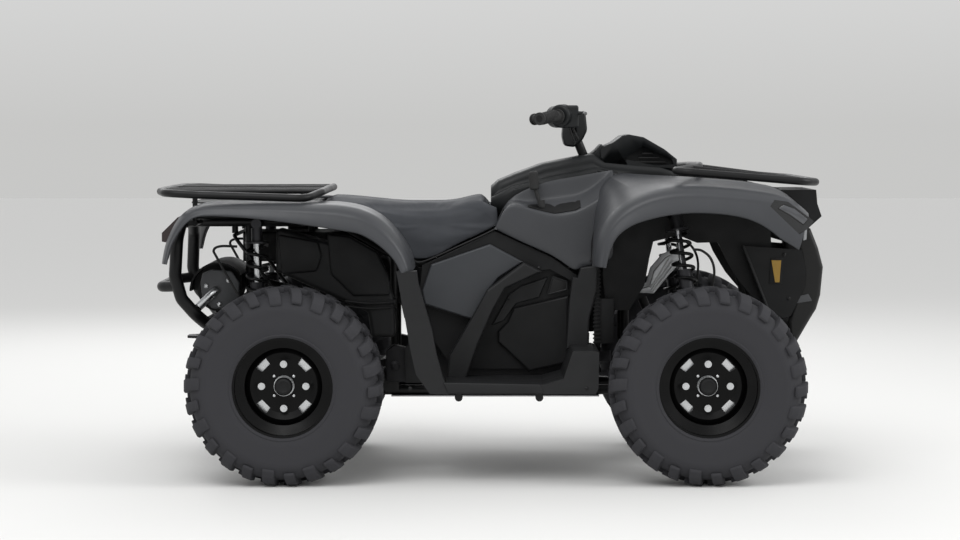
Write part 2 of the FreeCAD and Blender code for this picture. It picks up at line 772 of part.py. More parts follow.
def bellows(start, end, big, small, folds):
    """A rubber boot that narrows from one end to the other in folds."""
    start, end = vec(*start), vec(*end)
    run = (end - start).Length
    outline = [(0, 0)]
    for index in range(2 * folds + 1):
        share = index / (2 * folds)
        radius = (big + (small - big) * share) / 2
        outline.append((radius - (0 if index % 2 == 0 else 6), run * share))
    outline.append((0, run))
    points = [Vector(out, 0, along) for out, along in outline]
    boot = Part.Face(Part.makePolygon(points + points[:1])).revolve(Vector(0, 0, 0), Vector(0, 0, 1), 360)
    boot.Placement = Placement(start, Rotation(Vector(0, 0, 1), end - start))
    return boot


def make_half_shafts():
    """Four axle shafts with a boot at each joint."""
    shaft = size("shaft_dia")
    inner = RAIL_HALF - 50 - size("frame_tube") / 2 - 8 + GAP
    shafts = []
    for x, outer in ((FRONT_AXLE, KINGPIN_HALF - 54), (REAR_AXLE, rear_hub_face() - 40 - 2 * GAP)):
        ends = [(x, inner, AXLE_HEIGHT), (x, outer, AXLE_HEIGHT)]
        pieces = [
            rod(ends[0], ends[1], shaft),
            bellows(ends[0], (x, inner + 80, AXLE_HEIGHT), 60, float(shaft) + 8, 4),
            bellows(ends[1], (x, outer - 80, AXLE_HEIGHT), 66, float(shaft) + 8, 4),
        ]
        shafts.append(fuse_all(pieces))
    keep_shape("half_shafts", Part.makeCompound(shafts + [mirrored(shaft) for shaft in shafts]))


def make_front_arms():
    """Upper and lower A-arms with pivot sleeves and ball joint cups."""
    arms = []
    pivot = ARM_PIVOT_HALF
    for rise, inner_z, spread in ((-BALL_RISE, high(size("rail_height")), 130), (BALL_RISE, high(440), 105)):
        ball = (FRONT_AXLE, KINGPIN_HALF - 4, AXLE_HEIGHT + rise)
        neck = (FRONT_AXLE, KINGPIN_HALF - 40, AXLE_HEIGHT + rise)
        pieces = [
            rod((FRONT_AXLE, KINGPIN_HALF - 15 - GAP, ball[2]), neck, 26),
            rod((front(-spread - 22), pivot, inner_z), (front(-spread + 22), pivot, inner_z), 30),
            rod((front(spread - 22), pivot, inner_z), (front(spread + 22), pivot, inner_z), 30),
        ]
        for sign in (-1, 1):
            pieces.append(tube([(front(sign * spread), pivot, inner_z),
                                (front(sign * 42), KINGPIN_HALF - 110, (inner_z + ball[2] * 2) / 3),
                                neck], 24, 90))
        if rise > 0:
            saddle = (KINGPIN_HALF - 110, (inner_z + ball[2] * 2) / 3)
            pieces.append(rod((front(-46), *saddle), (front(46), *saddle), 24))
        arms.append(fuse_all(pieces))
    keep_shape("front_arms", Part.makeCompound(arms + [mirrored(arm) for arm in arms]))


def make_knuckle(node, side):
    """Upright that carries a front hub, with steering arm and brake caliper."""
    inner = KINGPIN_HALF - 30
    face = front_hub_face() - GAP
    axis = Vector(0, 1, 0)
    centre = vec(FRONT_AXLE, inner, AXLE_HEIGHT)
    run = float(face) - float(inner)
    pieces = [Part.makeCone(30, 40, run, centre, axis)]
    for rise in (-BALL_RISE, BALL_RISE):
        ball = vec(FRONT_AXLE, KINGPIN_HALF, AXLE_HEIGHT + rise)
        pieces.append(Part.makeSphere(15, ball))
        pieces.append(rod((FRONT_AXLE, KINGPIN_HALF, AXLE_HEIGHT + rise),
                          (FRONT_AXLE, KINGPIN_HALF, AXLE_HEIGHT), 18))
    pieces.append(rod((front(-96), KINGPIN_HALF - 22, AXLE_HEIGHT + 24),
                      (FRONT_AXLE, KINGPIN_HALF - 6, AXLE_HEIGHT + 10), 20))
    pieces.append(Part.makeCylinder(14, 22, vec(front(-96), KINGPIN_HALF - 22, AXLE_HEIGHT + 13)))
    disc_face = hub_disc_face(size("front_tyre_width"), FRONT_TRACK_HALF)
    jaw = block(front(66), front(112), inner + 24, disc_face + 14, AXLE_HEIGHT - 30, AXLE_HEIGHT + 30)
    slot = Part.makeCylinder(DISC_RADIUS + 2, 8, vec(FRONT_AXLE, disc_face - 1.5, AXLE_HEIGHT), axis)
    flange_room = Part.makeCylinder(86, 30, vec(FRONT_AXLE, disc_face, AXLE_HEIGHT), axis)
    arm = rod((front(10), inner + 20, AXLE_HEIGHT), (front(88), inner + 27, AXLE_HEIGHT), 20)
    pieces += [jaw.cut(slot).cut(flange_room), arm]
    solid = fuse_all(pieces)
    keep_shape(node, solid if side > 0 else mirrored(solid))


def make_tie_rod(node, side):
    """Steering rod from the foot of the stem to a knuckle."""
    low = AXLE_HEIGHT + 35 + GAP
    outer = (front(-96), KINGPIN_HALF - 22, low + 9)
    inner = (FRONT_AXLE + PITMAN_EYE_X, PITMAN_EYE_HALF, low + 9)
    pieces = [rod(inner, outer, 16), Part.makeCylinder(14, 18, vec(outer[0], outer[1], low)),
              Part.makeCylinder(13, 18, vec(inner[0], inner[1], low))]
    solid = fuse_all(pieces)
    keep_shape(node, solid if side > 0 else mirrored(solid))


def make_trailing_arms():
    """Box arms from the frame to the rear hubs, with bearing housings."""
    low_y = RAIL_HALF + 95
    wide = 55
    outline = [
        (rear(265), high(282)), (rear(150), high(262)), (rear(60), high(248)), (rear(-70), high(252)),
        (rear(-126), high(300)), (rear(-132), high(360)), (rear(-122), high(ARM_TOP)),
        (rear(0), high(ARM_TOP)),
        (rear(140), high(340)), (rear(265), high(332)), (rear(292), high(318)), (rear(292), high(296))]
    arm = rounded(plate_xz(outline, low_y, low_y + wide), 9, lambda edge: not runs_across(edge))
    sleeve = rod((rear(280), RAIL_HALF + 44, high(307)), (rear(280), low_y + wide, high(307)), 46)
    axis = Vector(0, 1, 0)
    start = vec(REAR_AXLE, low_y, AXLE_HEIGHT)
    run = float(rear_hub_face() - GAP) - float(low_y)
    housing = Part.makeCylinder(60, run, start, axis)
    shaft_room = Part.makeCylinder(47, run - 39, start - Vector(0, 1, 0), axis)
    solid = fuse_all([arm, sleeve, housing]).cut(shaft_room)
    keep_shape("trailing_arms", both_sides(solid))


def make_sway_bar():
    """Rear torsion bar across the frame with arms to the trailing arms."""
    y = RAIL_HALF + 70
    half = [(rear(-180), 0, high(760)), (rear(-180), y, high(760)), (rear(-30), y - 8, high(560)),
            (rear(-40), y + 30, high(ARM_TOP) + 6 + GAP), (rear(-10), y + 30, high(ARM_TOP) + 6 + GAP)]
    keep_shape("sway_bar", fuse_all([tube(half, 12, 30), mirrored(tube(half, 12, 30))]))


SADDLE_TOP = (high(440) + (AXLE_HEIGHT + BALL_RISE) * 2) / 3 + 12
SHOCKS = (
    (SHOCK_TOP_FRONT, (front(-25), KINGPIN_HALF - 110, SADDLE_TOP + 16 + GAP)),
    (SHOCK_TOP_REAR, (rear(-98), RAIL_HALF + 122, high(ARM_TOP) + 16 + GAP)),
)


def shock_pieces(top, foot):
    """Damper body with rod, spring seats and eyes, and its coil spring."""
    top, foot = vec(*top), vec(*foot)
    run = (top - foot).Length
    coil = float(size("spring_dia")) / 2
    wire = float(size("spring_wire")) / 2
    profile = [(0, 14), (19, 14), (19, 60), (coil, 60), (coil, 66), (23, 66), (23, run * 0.55),
               (10, run * 0.55), (10, run - 62), (coil, run - 62), (coil, run - 56), (18, run - 56),
               (18, run - 14), (0, run - 14)]
    points = [Vector(out, 0, along) for out, along in profile]
    damper = Part.Face(Part.makePolygon(points + points[:1])).revolve(Vector(0, 0, 0), Vector(0, 0, 1), 360)
    low = 66 + wire + float(GAP)
    rise = run - 62 - wire - float(GAP) - low
    pitch = rise / float(size("spring_turns"))
    helix = Part.makeHelix(pitch, rise, coil - wire - 1)
    helix.translate(Vector(0, 0, low))
    ring = Part.Wire(Part.makeCircle(wire, Vector(coil - wire - 1, 0, low), Vector(0, 1, 0)))
    spring = Part.Wire(helix).makePipeShell([ring], True, True)
    place = Placement(foot, Rotation(Vector(0, 0, 1), top - foot))
    for shape in (damper, spring):
        shape.Placement = place
    half = Vector(0, EYE_HALF, 0)
    eyes = [Part.makeCylinder(16, 2 * EYE_HALF, spot - half, Vector(0, 1, 0)) for spot in (top, foot)]
    return damper.multiFuse(eyes), spring


def make_shocks():
    """Four dampers in one node and their four springs in another."""
    dampers, springs = [], []
    for top, foot in SHOCKS:
        damper, spring = shock_pieces(top, foot)
        dampers += [damper, mirrored(damper)]
        springs += [spring, mirrored(spring)]
    keep_shape("shocks", Part.makeCompound(dampers))
    keep_shape("springs", Part.makeCompound(springs))


def make_front_bumper():
    """Moulded bumper: two bowed side members, cross bars and a lower plate."""
    outer = [(front(350), high(783)), (front(375), high(720)), (front(391), high(660)),
             (front(383), high(570)),
             (front(370), high(525)), (front(352), high(496)), (front(306), high(416))]
    inner = [(front(282), high(430)), (front(279), high(484)), (front(293), high(531)),
             (front(322), high(600)),
             (front(325), high(640)), (front(314), high(707)), (front(296), high(783))]
    member = rounded(plate_xz(outer + inner, BUMPER_HALF - 67, BUMPER_HALF), 14,
                     lambda edge: not runs_across(edge))
    lower = plate_xz([(front(352), high(496)), (front(306), high(416)), (front(282), high(430)),
                      (front(296), high(480)), (front(330), high(502))], -170, 170)
    middle = plate_xz([(front(386), high(690)), (front(391), high(655)), (front(386), high(620)),
                       (front(352), high(622)), (front(350), high(686))], -170, 170)
    upper = plate_xz([(front(352), high(783)), (front(362), high(752)), (front(330), high(752)),
                      (front(326), high(783))], -170, 170)
    keep_shape("front_bumper", fuse_all([member, mirrored(member), lower, middle, upper]))


def make_rear_bumper():
    """Tube hoops behind the rear wheels and a cross bar that stands back."""
    gauge = size("bumper_tube")
    y = RAIL_HALF + 100
    foot = high(440) + size("frame_tube") / 2 + gauge / 2 + GAP
    hoop = tube([(rear(-262), 0, foot), (rear(-268), y - 40, foot), (rear(-300), y, foot + 34),
                 (rear(-344), y, high(560)),
                 (rear(-364), y, high(632)), (rear(-358), y - 10, high(750)),
                 (rear(-352), RAIL_HALF + 20, SEAT_RAIL_HEIGHT),
                 (rear(-330) - GAP, RAIL_HALF + 20, SEAT_RAIL_HEIGHT)], gauge, 40)
    tail = -float(size("rear_reach")) + float(gauge) / 2 - 1
    bar = tube([(rear(-356), y, high(600)), (rear(tail), y - 40, high(596)), (rear(tail), 0, high(596))],
               gauge - 6, 40)
    pieces = [hoop, mirrored(hoop), bar, mirrored(bar)]
    keep_shape("rear_bumper", fuse_all(pieces))


def make_tow_hitch():
    """Tongue plate with a ball hole, welded to the frame's tail."""
    top = high(440) - size("frame_tube") / 2
    outline = [(rear(-250), -60), (rear(-250), 60), (rear(-330), 42), (rear(-352), 26), (rear(-352), -26),
               (rear(-330), -42)]
    plate = plate_xy(outline, top - 8, top)
    hole = Part.makeCylinder(9.75, 40, vec(rear(-318), 0, top - 20))
    keep_shape("tow_hitch", plate.cut(hole))


def rack_loop(points, bend):
    """A closed rack rail from its right half."""
    half = tube(points, size("rack_tube"), bend)
    return [half, mirrored(half)]


def make_front_rack():
    """Tube rack over the nose, with slats and four legs."""
    bar = size("rack_bar")
    pieces = rack_loop([(front(14), 0, high(980)), (front(-4), 190, high(978)), (front(-100), 400, high(970)),
                        (front(-60), 425, high(967)), (front(310), 408, high(936)),
                        (front(349), 350, high(934)),
                        (front(349), 0, high(934))], 45)
    for y, start in ((0, 14), (130, 4), (262, -36)):
        for side in ((1, -1) if y else (1,)):
            pieces.append(rod((front(start), side * y, high(977)), (front(348), side * y, high(934)), bar))
    top = size("frame_tube") / 2 + GAP
    for x, rail_z, slat_z in ((front(8), high(781.3), high(972)), (front(150), high(789.4), high(955))):
        for side in (1, -1):
            y = side * (RAIL_HALF - 20)
            pieces.append(rod((x, y, rail_z + top), (x, y, slat_z), bar))
    keep_shape("front_rack", fuse_all(pieces))


def make_rear_rack():
    """Tube rack over the tail, with slats and four legs."""
    bar = size("rack_bar")
    head, tail = rear(112), rear(-406)
    pieces = rack_loop([(head, 0, high(905)), (head - 4, 340, high(902)), (rear(66), 446, high(885)),
                        (rear(-266), 450, high(896)), (rear(-372), 432, high(901)),
                        (tail + 4, 300, high(903)),
                        (tail, 0, high(903))], 50)
    for y in (110, 220, 330):
        for side in (1, -1):
            pieces.append(rod((head - 2, side * y, high(904)), (tail + 2, side * y, high(903)), bar))
    for x in RACK_LEG_X:
        for side in (1, -1):
            foot = SEAT_RAIL_HEIGHT + bar / 2 + GAP
            pieces.append(rod((x, side * RACK_LEG_HALF, foot), (x, side * RACK_LEG_HALF, high(903)), bar))
    keep_shape("rear_rack", fuse_all(pieces))


def make_rear_fenders():
    """Moulded fenders over the rear wheels, run down to the footwells."""
    lip = float(FENDER_HALF)
    inner = float(RAIL_HALF) + 86
    behind_hoop = inner + 44
    stations = (
        (-379, 684, 88, 14, 20, behind_hoop), (-370, 742, 82, 16, 22, behind_hoop),
        (-350, 786, 68, 18, 26, behind_hoop), (-329, 825, 56, 20, 30, inner), (-292, 858, 32, 20, 32, inner),
        (-238, 870, 4, 19, 32, inner), (-95, 871, 0, 24, 40, inner), (110, 869, -2, 34, 66, inner),
        (214, 864, -14, 40, 80, inner), (292, 832, -44, 34, 72, inner), (346, 776, -50, 28, 56, inner),
        (386, 716, -62, 24, 44, inner), (398, 664, -78, 20, 36, inner))
    wires = []
    for x, z, slope, crease, drop, start in stations:
        outline = [(start, 4), (lip - 210, 4), (lip - 46, 0), (lip - 12, -crease * 0.55), (lip - 4, -crease),
                   (lip, -drop)]
        wires.append(rib(rear(x), high(z), slope, outline))
    shell = loft(wires)
    for x in RACK_LEG_X:
        hole = rod((x, RACK_LEG_HALF, high(780)), (x, RACK_LEG_HALF, high(900)), size("rack_bar") + 6)
        shell = shell.cut(hole)
    keep_shape("rear_fenders", both_sides(shell))


def make_tail_panel():
    """Deck between the rear fenders, under the rack."""
    y = RAIL_HALF + 86 - GAP
    outline = [(rear(84), -y), (rear(84), y), (rear(-280), y), (rear(-318), y - 60), (rear(-318), -y + 60),
               (rear(-280), -y)]
    keep_shape("tail_panel", plate_xy(outline, high(862), high(867)))


def headlamp_block(margin, reach):
    """The left headlamp unit, grown by a margin and run out to a distance from the centre plane."""
    y = RAIL_HALF + 100
    outline = [(front(190 - margin), high(862)), (front(204 - margin), high(882 + margin)),
               (front(246 + margin), high(876 + margin)), (front(326 + margin), high(816)),
               (front(304 + margin), high(790 - margin)), (front(280), high(776 - margin)),
               (front(242 - margin), high(812 - margin))]
    return plate_xz(outline, y - margin, reach)


FRONT_FENDER_RIBS = (
    (-352, 676, 84, 24, 36, 8), (-348, 722, 80, 26, 40, 8), (-336, 786, 66, 30, 50, 8),
    (-292, 850, 46, 34, 66, 8),
    (-206, 904, 22, 36, 84, 24), (-100, 926, 6, 36, 84, 24), (0, 924, -2, 36, 80, 24),
    (90, 915, -6, 34, 80, 24),
    (150, 908, -8, 32, 88, 24), (200, 901, -10, 30, 106, 24), (240, 890, -16, 28, 118, 24),
    (268, 878, -21, 26, 124, 16), (300, 852, -18, 22, 118, 10), (314, 838, -17, 20, 116, 8))


def make_front_fenders():
    """Moulded fenders over the front wheels, joined by the nose panel."""
    lip = float(FENDER_HALF) - 8
    wires = []
    for x, z, slope, crease, drop, rise in FRONT_FENDER_RIBS:
        outline = [(RAIL_HALF + 86 + GAP, rise), (lip - 200, rise - 4), (lip - 54, 0),
                   (lip - 14, -crease * 0.5),
                   (lip - 5, -crease), (lip, -drop)]
        wires.append(rib(front(x), high(z), slope, outline))
    shell = largest(loft(wires).cut(headlamp_block(0.8, FENDER_HALF + 10)))
    keep_shape("front_fenders", both_sides(shell))


def make_body_sides():
    """Painted panels either side of the console, each with a ledge for the gear gate."""
    inner, outer = RAIL_HALF + 20, RAIL_HALF + 86
    outline = [(front(-656), high(781)), (front(-646), high(815)), (front(-624), high(848)),
               (front(-600), high(885)),
               (front(-512), high(925)), (front(-472), high(935)), (front(-277), high(969)),
               (front(-230), high(968)),
               (front(-262), high(892)), (front(-322), high(800)), (front(-330), high(674)),
               (front(-386), high(667)),
               (front(-391), high(640)), (front(-470), high(697))]
    block_form = plate_xz(outline, inner, outer)
    near = [(-700, 874), (-615, 874), (-552, 851), (-469, 826), (-405, 838), (-335, 872), (-270, 918),
            (-270, 1010),
            (-700, 1010)]
    far = [(-700, 882), (-615, 880), (-552, 861), (-465, 874), (-373, 890), (-330, 914), (-270, 975),
           (-270, 1010),
           (-700, 1010)]
    ledge = loft([ledge_wire(outer + 6, near, 0), ledge_wire(inner + 6, far, 0)], True)
    room = loft([ledge_wire(outer - 5, near, -6), ledge_wire(inner + 6, far, -6)], True)
    shelf = block_form.common(room).cut(ledge)
    skin = plate_xz(outline, outer - 5, outer).cut(ledge)
    back = plate_xz(outline, inner, inner + 6)
    back = back.common(plate_xz([(front(x), high(z - 6)) for x, z in far], inner - 1, inner + 7))
    keep_shape("body_sides", both_sides(largest(fuse_all([skin, back, shelf]))))


def ledge_wire(y, points, shift):
    """A closed side outline of (x from the front axle, z) points at one distance from the centre plane."""
    corners = [vec(front(x), y, high(z + shift)) for x, z in points]
    return Part.makePolygon(corners + corners[:1])


def make_side_trims():
    """Dark bands below the seat and the painted sides, behind the grey panels."""
    y = RAIL_HALF + 52
    outline = [(rear(420), high(664)), (front(-657), high(774)), (front(-648), high(772)),
               (front(-471), high(690)),
               (front(-394), high(634)), (front(-398), high(606)), (front(-480), high(650)),
               (front(-590), high(640)),
               (front(-672), high(588)), (front(-728), high(486)), (rear(424), high(536)),
               (rear(412), high(585))]
    keep_shape("side_trims", both_sides(rounded(plate_xz(outline, y, y + 10), 3,
                                                lambda edge: faces_out(edge, y + 8))))


def make_side_panels():
    """Grey panels under the seat's nose."""
    y = RAIL_HALF + 62 + GAP
    outline = [(rear(450), high(668)), (front(-672), high(733)), (front(-566), high(676)),
               (front(-644), high(626)),
               (front(-672), high(592)), (front(-728), high(492)), (rear(430), high(541)),
               (rear(421), high(585))]
    panel = rounded(plate_xz(outline, y, y + 15), 6, lambda edge: faces_out(edge, y + 12))
    keep_shape("side_panels", both_sides(panel))


def faces_out(edge, beyond):
    """True for an edge of a panel's outer face."""
    return not runs_across(edge) and edge.CenterOfMass.y > float(beyond)


def make_engine_covers():
    """Dark side walls over the engine with a raised cover and a vent."""
    y = RAIL_HALF + 20
    wall = plate_xz([(rear(424), high(560)), (front(-660), high(676)), (front(-470), high(684)),
                     (front(-396), high(625)),
                     (front(-389), high(330)), (rear(520), high(330)), (rear(424), high(470))], y, y + 8)
    cover = plate_xz([(front(-597), high(527)), (front(-420), high(567)), (front(-420), high(347)),
                      (front(-436), high(347)), (front(-546), high(322)), (front(-609), high(382)),
                      (front(-647), high(416)), (front(-647), high(451)), (front(-616), high(482))], y + 2,
                     y + 30)
    cover = rounded(cover, 8, lambda edge: faces_out(edge, y + 26))
    vent = plate_xz([(front(-476), high(610)), (front(-436), high(618)), (front(-430), high(594)),
                     (front(-482), high(576))],
                    y + 3, y + 40)
    keep_shape("engine_covers", both_sides(fuse_all([wall, cover]).cut(vent)))


def make_cover_inserts():
    """Grey inserts above the engine covers."""
    y = RAIL_HALF + 28 + GAP
    outline = [(front(-612), high(568)), (front(-575), high(596)), (front(-486), high(626)),
               (front(-514), high(560)),
               (front(-588), high(540)), (front(-628), high(484)), (front(-667), high(470)),
               (front(-650), high(500))]
    insert = rounded(plate_xz(outline, y, y + 10), 4, lambda edge: faces_out(edge, y + 8))
    keep_shape("cover_inserts", both_sides(insert))


def make_footwells():
    """Foot boards between the wheels with their braces and the walls ahead of the feet."""
    inner = RAIL_HALF + 54
    outer = FENDER_HALF - 4
    floor = plate_xz([(rear(500), high(282)), (front(-346), high(282)), (front(-338), high(300)),
                      (front(-336), high(412)),
                      (front(-350), high(416)), (front(-417), high(416)), (front(-446), high(330)),
                      (front(-507), high(312)),
                      (rear(500), high(312))], inner, outer)
    brace = plate_xz([(rear(500), high(282)), (rear(500), high(312)), (rear(490), high(337)),
                      (rear(471), high(406)), (rear(457), high(482)),
                      (rear(434), high(558)), (rear(415), high(625)), (rear(406), high(700)),
                      (rear(340), high(700)),
                      (rear(352), high(640)), (rear(363), high(575)), (rear(376), high(507)),
                      (rear(389), high(429)),
                      (rear(408), high(343)), (rear(452), high(282))], outer - 60, outer)
    brace = largest(brace.cut(made["rear_fenders"].Shape).common(block(rear(300), rear(500), 0, outer, 0,
                                                                       high(662))))
    mid = plate_xz([(front(-565), high(677)), (front(-682), high(589)), (front(-735), high(493)),
                    (front(-803), high(380)),
                    (rear(500), high(300)), (rear(560), high(300)), (front(-711), high(414)),
                    (front(-662), high(526)),
                    (front(-624), high(594)), (front(-507), high(648))], RAIL_HALF + 82, RAIL_HALF + 130)
    mid = rounded(mid, 8, lambda edge: faces_out(edge, RAIL_HALF + 126))
    wall = plate_xz([(front(-430), high(400)), (front(-420), high(560)), (front(-410), high(632)),
                     (front(-394), high(628)),
                     (front(-384), high(660)), (front(-330), high(668)), (front(-332), high(590)),
                     (front(-356), high(495)),
                     (front(-360), high(400))], RAIL_HALF + 88, RAIL_HALF + 112)
    wall = rounded(wall, 6, lambda edge: faces_out(edge, RAIL_HALF + 108))
    solid = fuse_all([floor, brace, mid, wall])
    keep_shape("footwells", both_sides(solid))


def make_seat():
    """Saddle seat with side skirts, its nose cut round the console."""
    wide = float(size("seat_width")) / 2
    stations = (
        (rear(90), 0.88, 874, 836, 850, 842), (rear(118), 0.98, 879, 832, 846, 828),
        (rear(218), 1.0, 875, 806, 836, 786),
        (rear(330), 1.0, 864, 800, 812, 716), (rear(392), 0.97, 861, 796, 800, 684),
        (rear(430), 0.94, 861, 796, 796, 682),
        (front(-768), 0.9, 868, 800, 812, 731), (front(-701), 0.9, 882, 812, 836, 762),
        (front(-672), 0.9, 878, 826, 846, 776), (front(-642), 0.88, 862, 834, 846, 796))
    wires = []
    for x, share, crown, floor, edge, hem in stations:
        half = wide * share
        foot = min(half - 2, 200)
        right = [(half * 0.5, crown - 4), (half * 0.82, crown - 18), (half * 0.96,
                                                                      edge + (crown - edge) * 0.4),
                 (half, edge - 8), (foot, hem), (foot - 12, hem + 1), (half - 34, floor)]
        corners = [(0, high(crown))] + [(y, high(z)) for y, z in right]
        corners += [(-y, high(z)) for y, z in right[::-1]]
        wires.append(section(x, corners))
    room = block(front(-668) - GAP, front(-500), -CONSOLE_HALF - GAP, CONSOLE_HALF + GAP, high(700),
                 high(1000))
    keep_shape("seat", loft(wires).cut(room))


def make_console():
    """Centre console from the seat to the steering head."""
    outline = [(front(-668), high(800)), (front(-668), high(912)), (front(-645), high(933)),
               (front(-590), high(956)),
               (front(-502), high(988)), (front(-388), high(1011)), (front(-340), high(1020)),
               (front(-300), high(1000)),
               (front(-200), high(990)), (front(-120), high(984)), (front(-60), high(960)),
               (front(-60), high(810)),
               (front(-340), high(806))]
    solid = plate_xz(outline, -118, 118)
    solid = rounded(solid, 26, lambda edge: not runs_across(edge) and edge.CenterOfMass.z > float(high(880)))
    shoulder = plate_xz([(front(-668), high(812)), (front(-668), high(880)), (front(-600), high(915)),
                         (front(-480), high(945)), (front(-330), high(975)), (front(-260), high(960)),
                         (front(-240), high(880)), (front(-340), high(812))], -CONSOLE_HALF, CONSOLE_HALF)
    shoulder = rounded(
        shoulder, 16, lambda edge: not runs_across(edge) and edge.CenterOfMass.z > float(high(880)))
    bore = rod(stem_point(300), stem_point(760), 60)
    keep_shape("console", fuse_all([solid, shoulder]).cut(bore))


def make_gauge_hood():
    """Hood over the instruments ahead of the handlebar."""
    outline = [(front(-314), high(1008)), (front(-314), high(1039)), (front(-273), high(1057)),
               (front(-245), high(1078)),
               (front(-223), high(1082)), (front(-176), high(1073)), (front(-108), high(1034)),
               (front(-68), high(1002)),
               (front(-68), high(970)), (front(-300), high(985))]
    solid = plate_xz(outline, -112, 112)
    solid = rounded(solid, 3, lambda edge: not runs_across(edge))
    keep_shape("gauge_hood", largest(solid.cut(made["console"].Shape)))


def make_shift_lever():
    """Gear lever that stands on the ledge of the right body side."""
    y = -(RAIL_HALF + 54)
    rod_piece = rod((front(-504), y, high(836)), (front(-530), y, high(915)), 12)
    boot = rod((front(-503), y, high(834)), (front(-510), y, high(872)), 24)
    knob = rod((front(-530), y, high(905)), (front(-534), y, high(965)), 30)
    knob = rounded(knob, 8, lambda edge: edge.Closed)
    lever = fuse_all([rod_piece, boot, knob]).cut(made["body_sides"].Shape)
    keep_shape("shift_lever", max(lever.Solids, key=lambda solid: solid.CenterOfMass.z))


def make_exhaust():
    """Transverse silencer with end plate, bolts, tail pipe and inlet."""
    x, z = rear(-235), high(580)
    axis = Vector(0, 1, 0)
    can = Part.makeCylinder(60, 330, vec(x, -175, z), axis)
    cap = Part.makeCylinder(64, 8, vec(x, -181, z), axis)
    pieces = [can, cap]
    for turn in (100, 210, 330):
        spot = vec(x + 46 * math.cos(math.radians(turn)), -186, z + 46 * math.sin(math.radians(turn)))
        pieces.append(Part.makeCylinder(6, 8, spot, axis))
    pieces.append(tube([(x - 14, -150, z - 4), (x - 14, -201, z - 4), (x - 70, -201, z - 60)], 26, 24))
    pieces.append(tube([(x, 60, z), (rear(-150), 70, high(600)), (rear(0), 70, high(560)),
                        (rear(280), 60, high(560)),
                        (rear(430), 40, high(520))], 38, 60))
    bracket = plate_xz([(rear(-276), high(468)), (rear(-246), high(468)), (rear(-222), high(560)),
                        (rear(-250), high(560))], 56, 64)
    pieces.append(largest(bracket.cut(made["rear_bumper"].Shape)))
    header = plate_xz([(front(-220), high(570)), (front(-154), high(590)), (front(-140), high(640)),
                       (front(-102), high(684)),
                       (front(-60), high(704)), (front(-56), high(664)), (front(-92), high(626)),
                       (front(-140), high(566)),
                       (front(-210), high(540))], -94, -86)
    post_face = front(-235) + size("cross_tube") / 2 + GAP
    ear = block(post_face, front(-204), -132, -94, high(558), high(572))
    keep_shape("exhaust", Part.makeCompound([fuse_all(pieces), both_sides(fuse_all([header, ear]))]))


def make_exhaust_shield():
    """Arched shield over the silencer."""
    x, z = rear(-235), high(580)
    outer = Part.makeCylinder(92, 360, vec(x, -180, z), Vector(0, 1, 0))
    inner = Part.makeCylinder(86, 380, vec(x, -190, z), Vector(0, 1, 0))
    upper = block(x - 100, x + 70, -200, 200, z, z + 100)
    pieces = [outer.cut(inner)]
    for y in (-120, 0, 120):
        rib = Part.makeCylinder(88, 8, vec(x, y, z), Vector(0, 1, 0))
        pieces.append(rib.cut(Part.makeCylinder(60 + float(GAP), 10, vec(x, y - 1, z), Vector(0, 1, 0))))
    keep_shape("exhaust_shield", fuse_all(pieces).common(upper))


def make_front_fascia():
    """Nose panel between the headlamps with a grille opening."""
    foot = high(783) + GAP
    outline = [(front(180), high(905)), (front(373), high(905)), (front(377), high(861)),
               (front(391), high(820)),
               (front(350), foot), (front(220), foot)]
    solid = plate_xz(outline, -180, 180)
    room = block(front(150), front(340), -165, 165, high(700), high(890))
    grille = [block(front(330), front(400), -140, 140, high(800 + 22 * index),
                    high(811 + 22 * index)) for index in range(3)]
    solid = solid.cut(room)
    for slot in grille:
        solid = solid.cut(slot)
    keep_shape("front_fascia", solid)


def make_headlamps():
    """Lamp units in the fenders' front corners."""
    keep_shape("headlamps", both_sides(rounded(headlamp_block(0, FENDER_HALF - 22), 4, runs_across)))


def make_tail_lamps():
    """Lamps on the rear faces of the fenders."""
    outline = [(rear(-326), high(812)), (rear(-334), high(826)), (rear(-384), high(777)),
               (rear(-384), high(750)),
               (rear(-364), high(746)), (rear(-350), high(770))]
    lamp = plate_xz(outline, 300, 420).cut(made["rear_fenders"].Shape)
    outer = min(lamp.Solids, key=lambda solid: solid.CenterOfMass.x)
    keep_shape("tail_lamps", both_sides(outer))


def make_front_guards():
    """Splash guards ahead of the front wheels with their side reflectors."""
    y = BUMPER_HALF + GAP
    outline = [(front(133), high(728)), (front(218), high(515)), (front(267), high(497)),
               (front(288), high(505)),
               (front(334), high(600)), (front(334), high(650)), (front(322), high(715))]
    keep_shape("front_guards", both_sides(plate_xz(outline, y, y + 4)))
    patch = [(front(224), high(682)), (front(255), high(682)), (front(250), high(612)),
             (front(236), high(612))]
    keep_shape("side_reflectors", both_sides(plate_xz(patch, y + 4 + GAP, y + 9)))


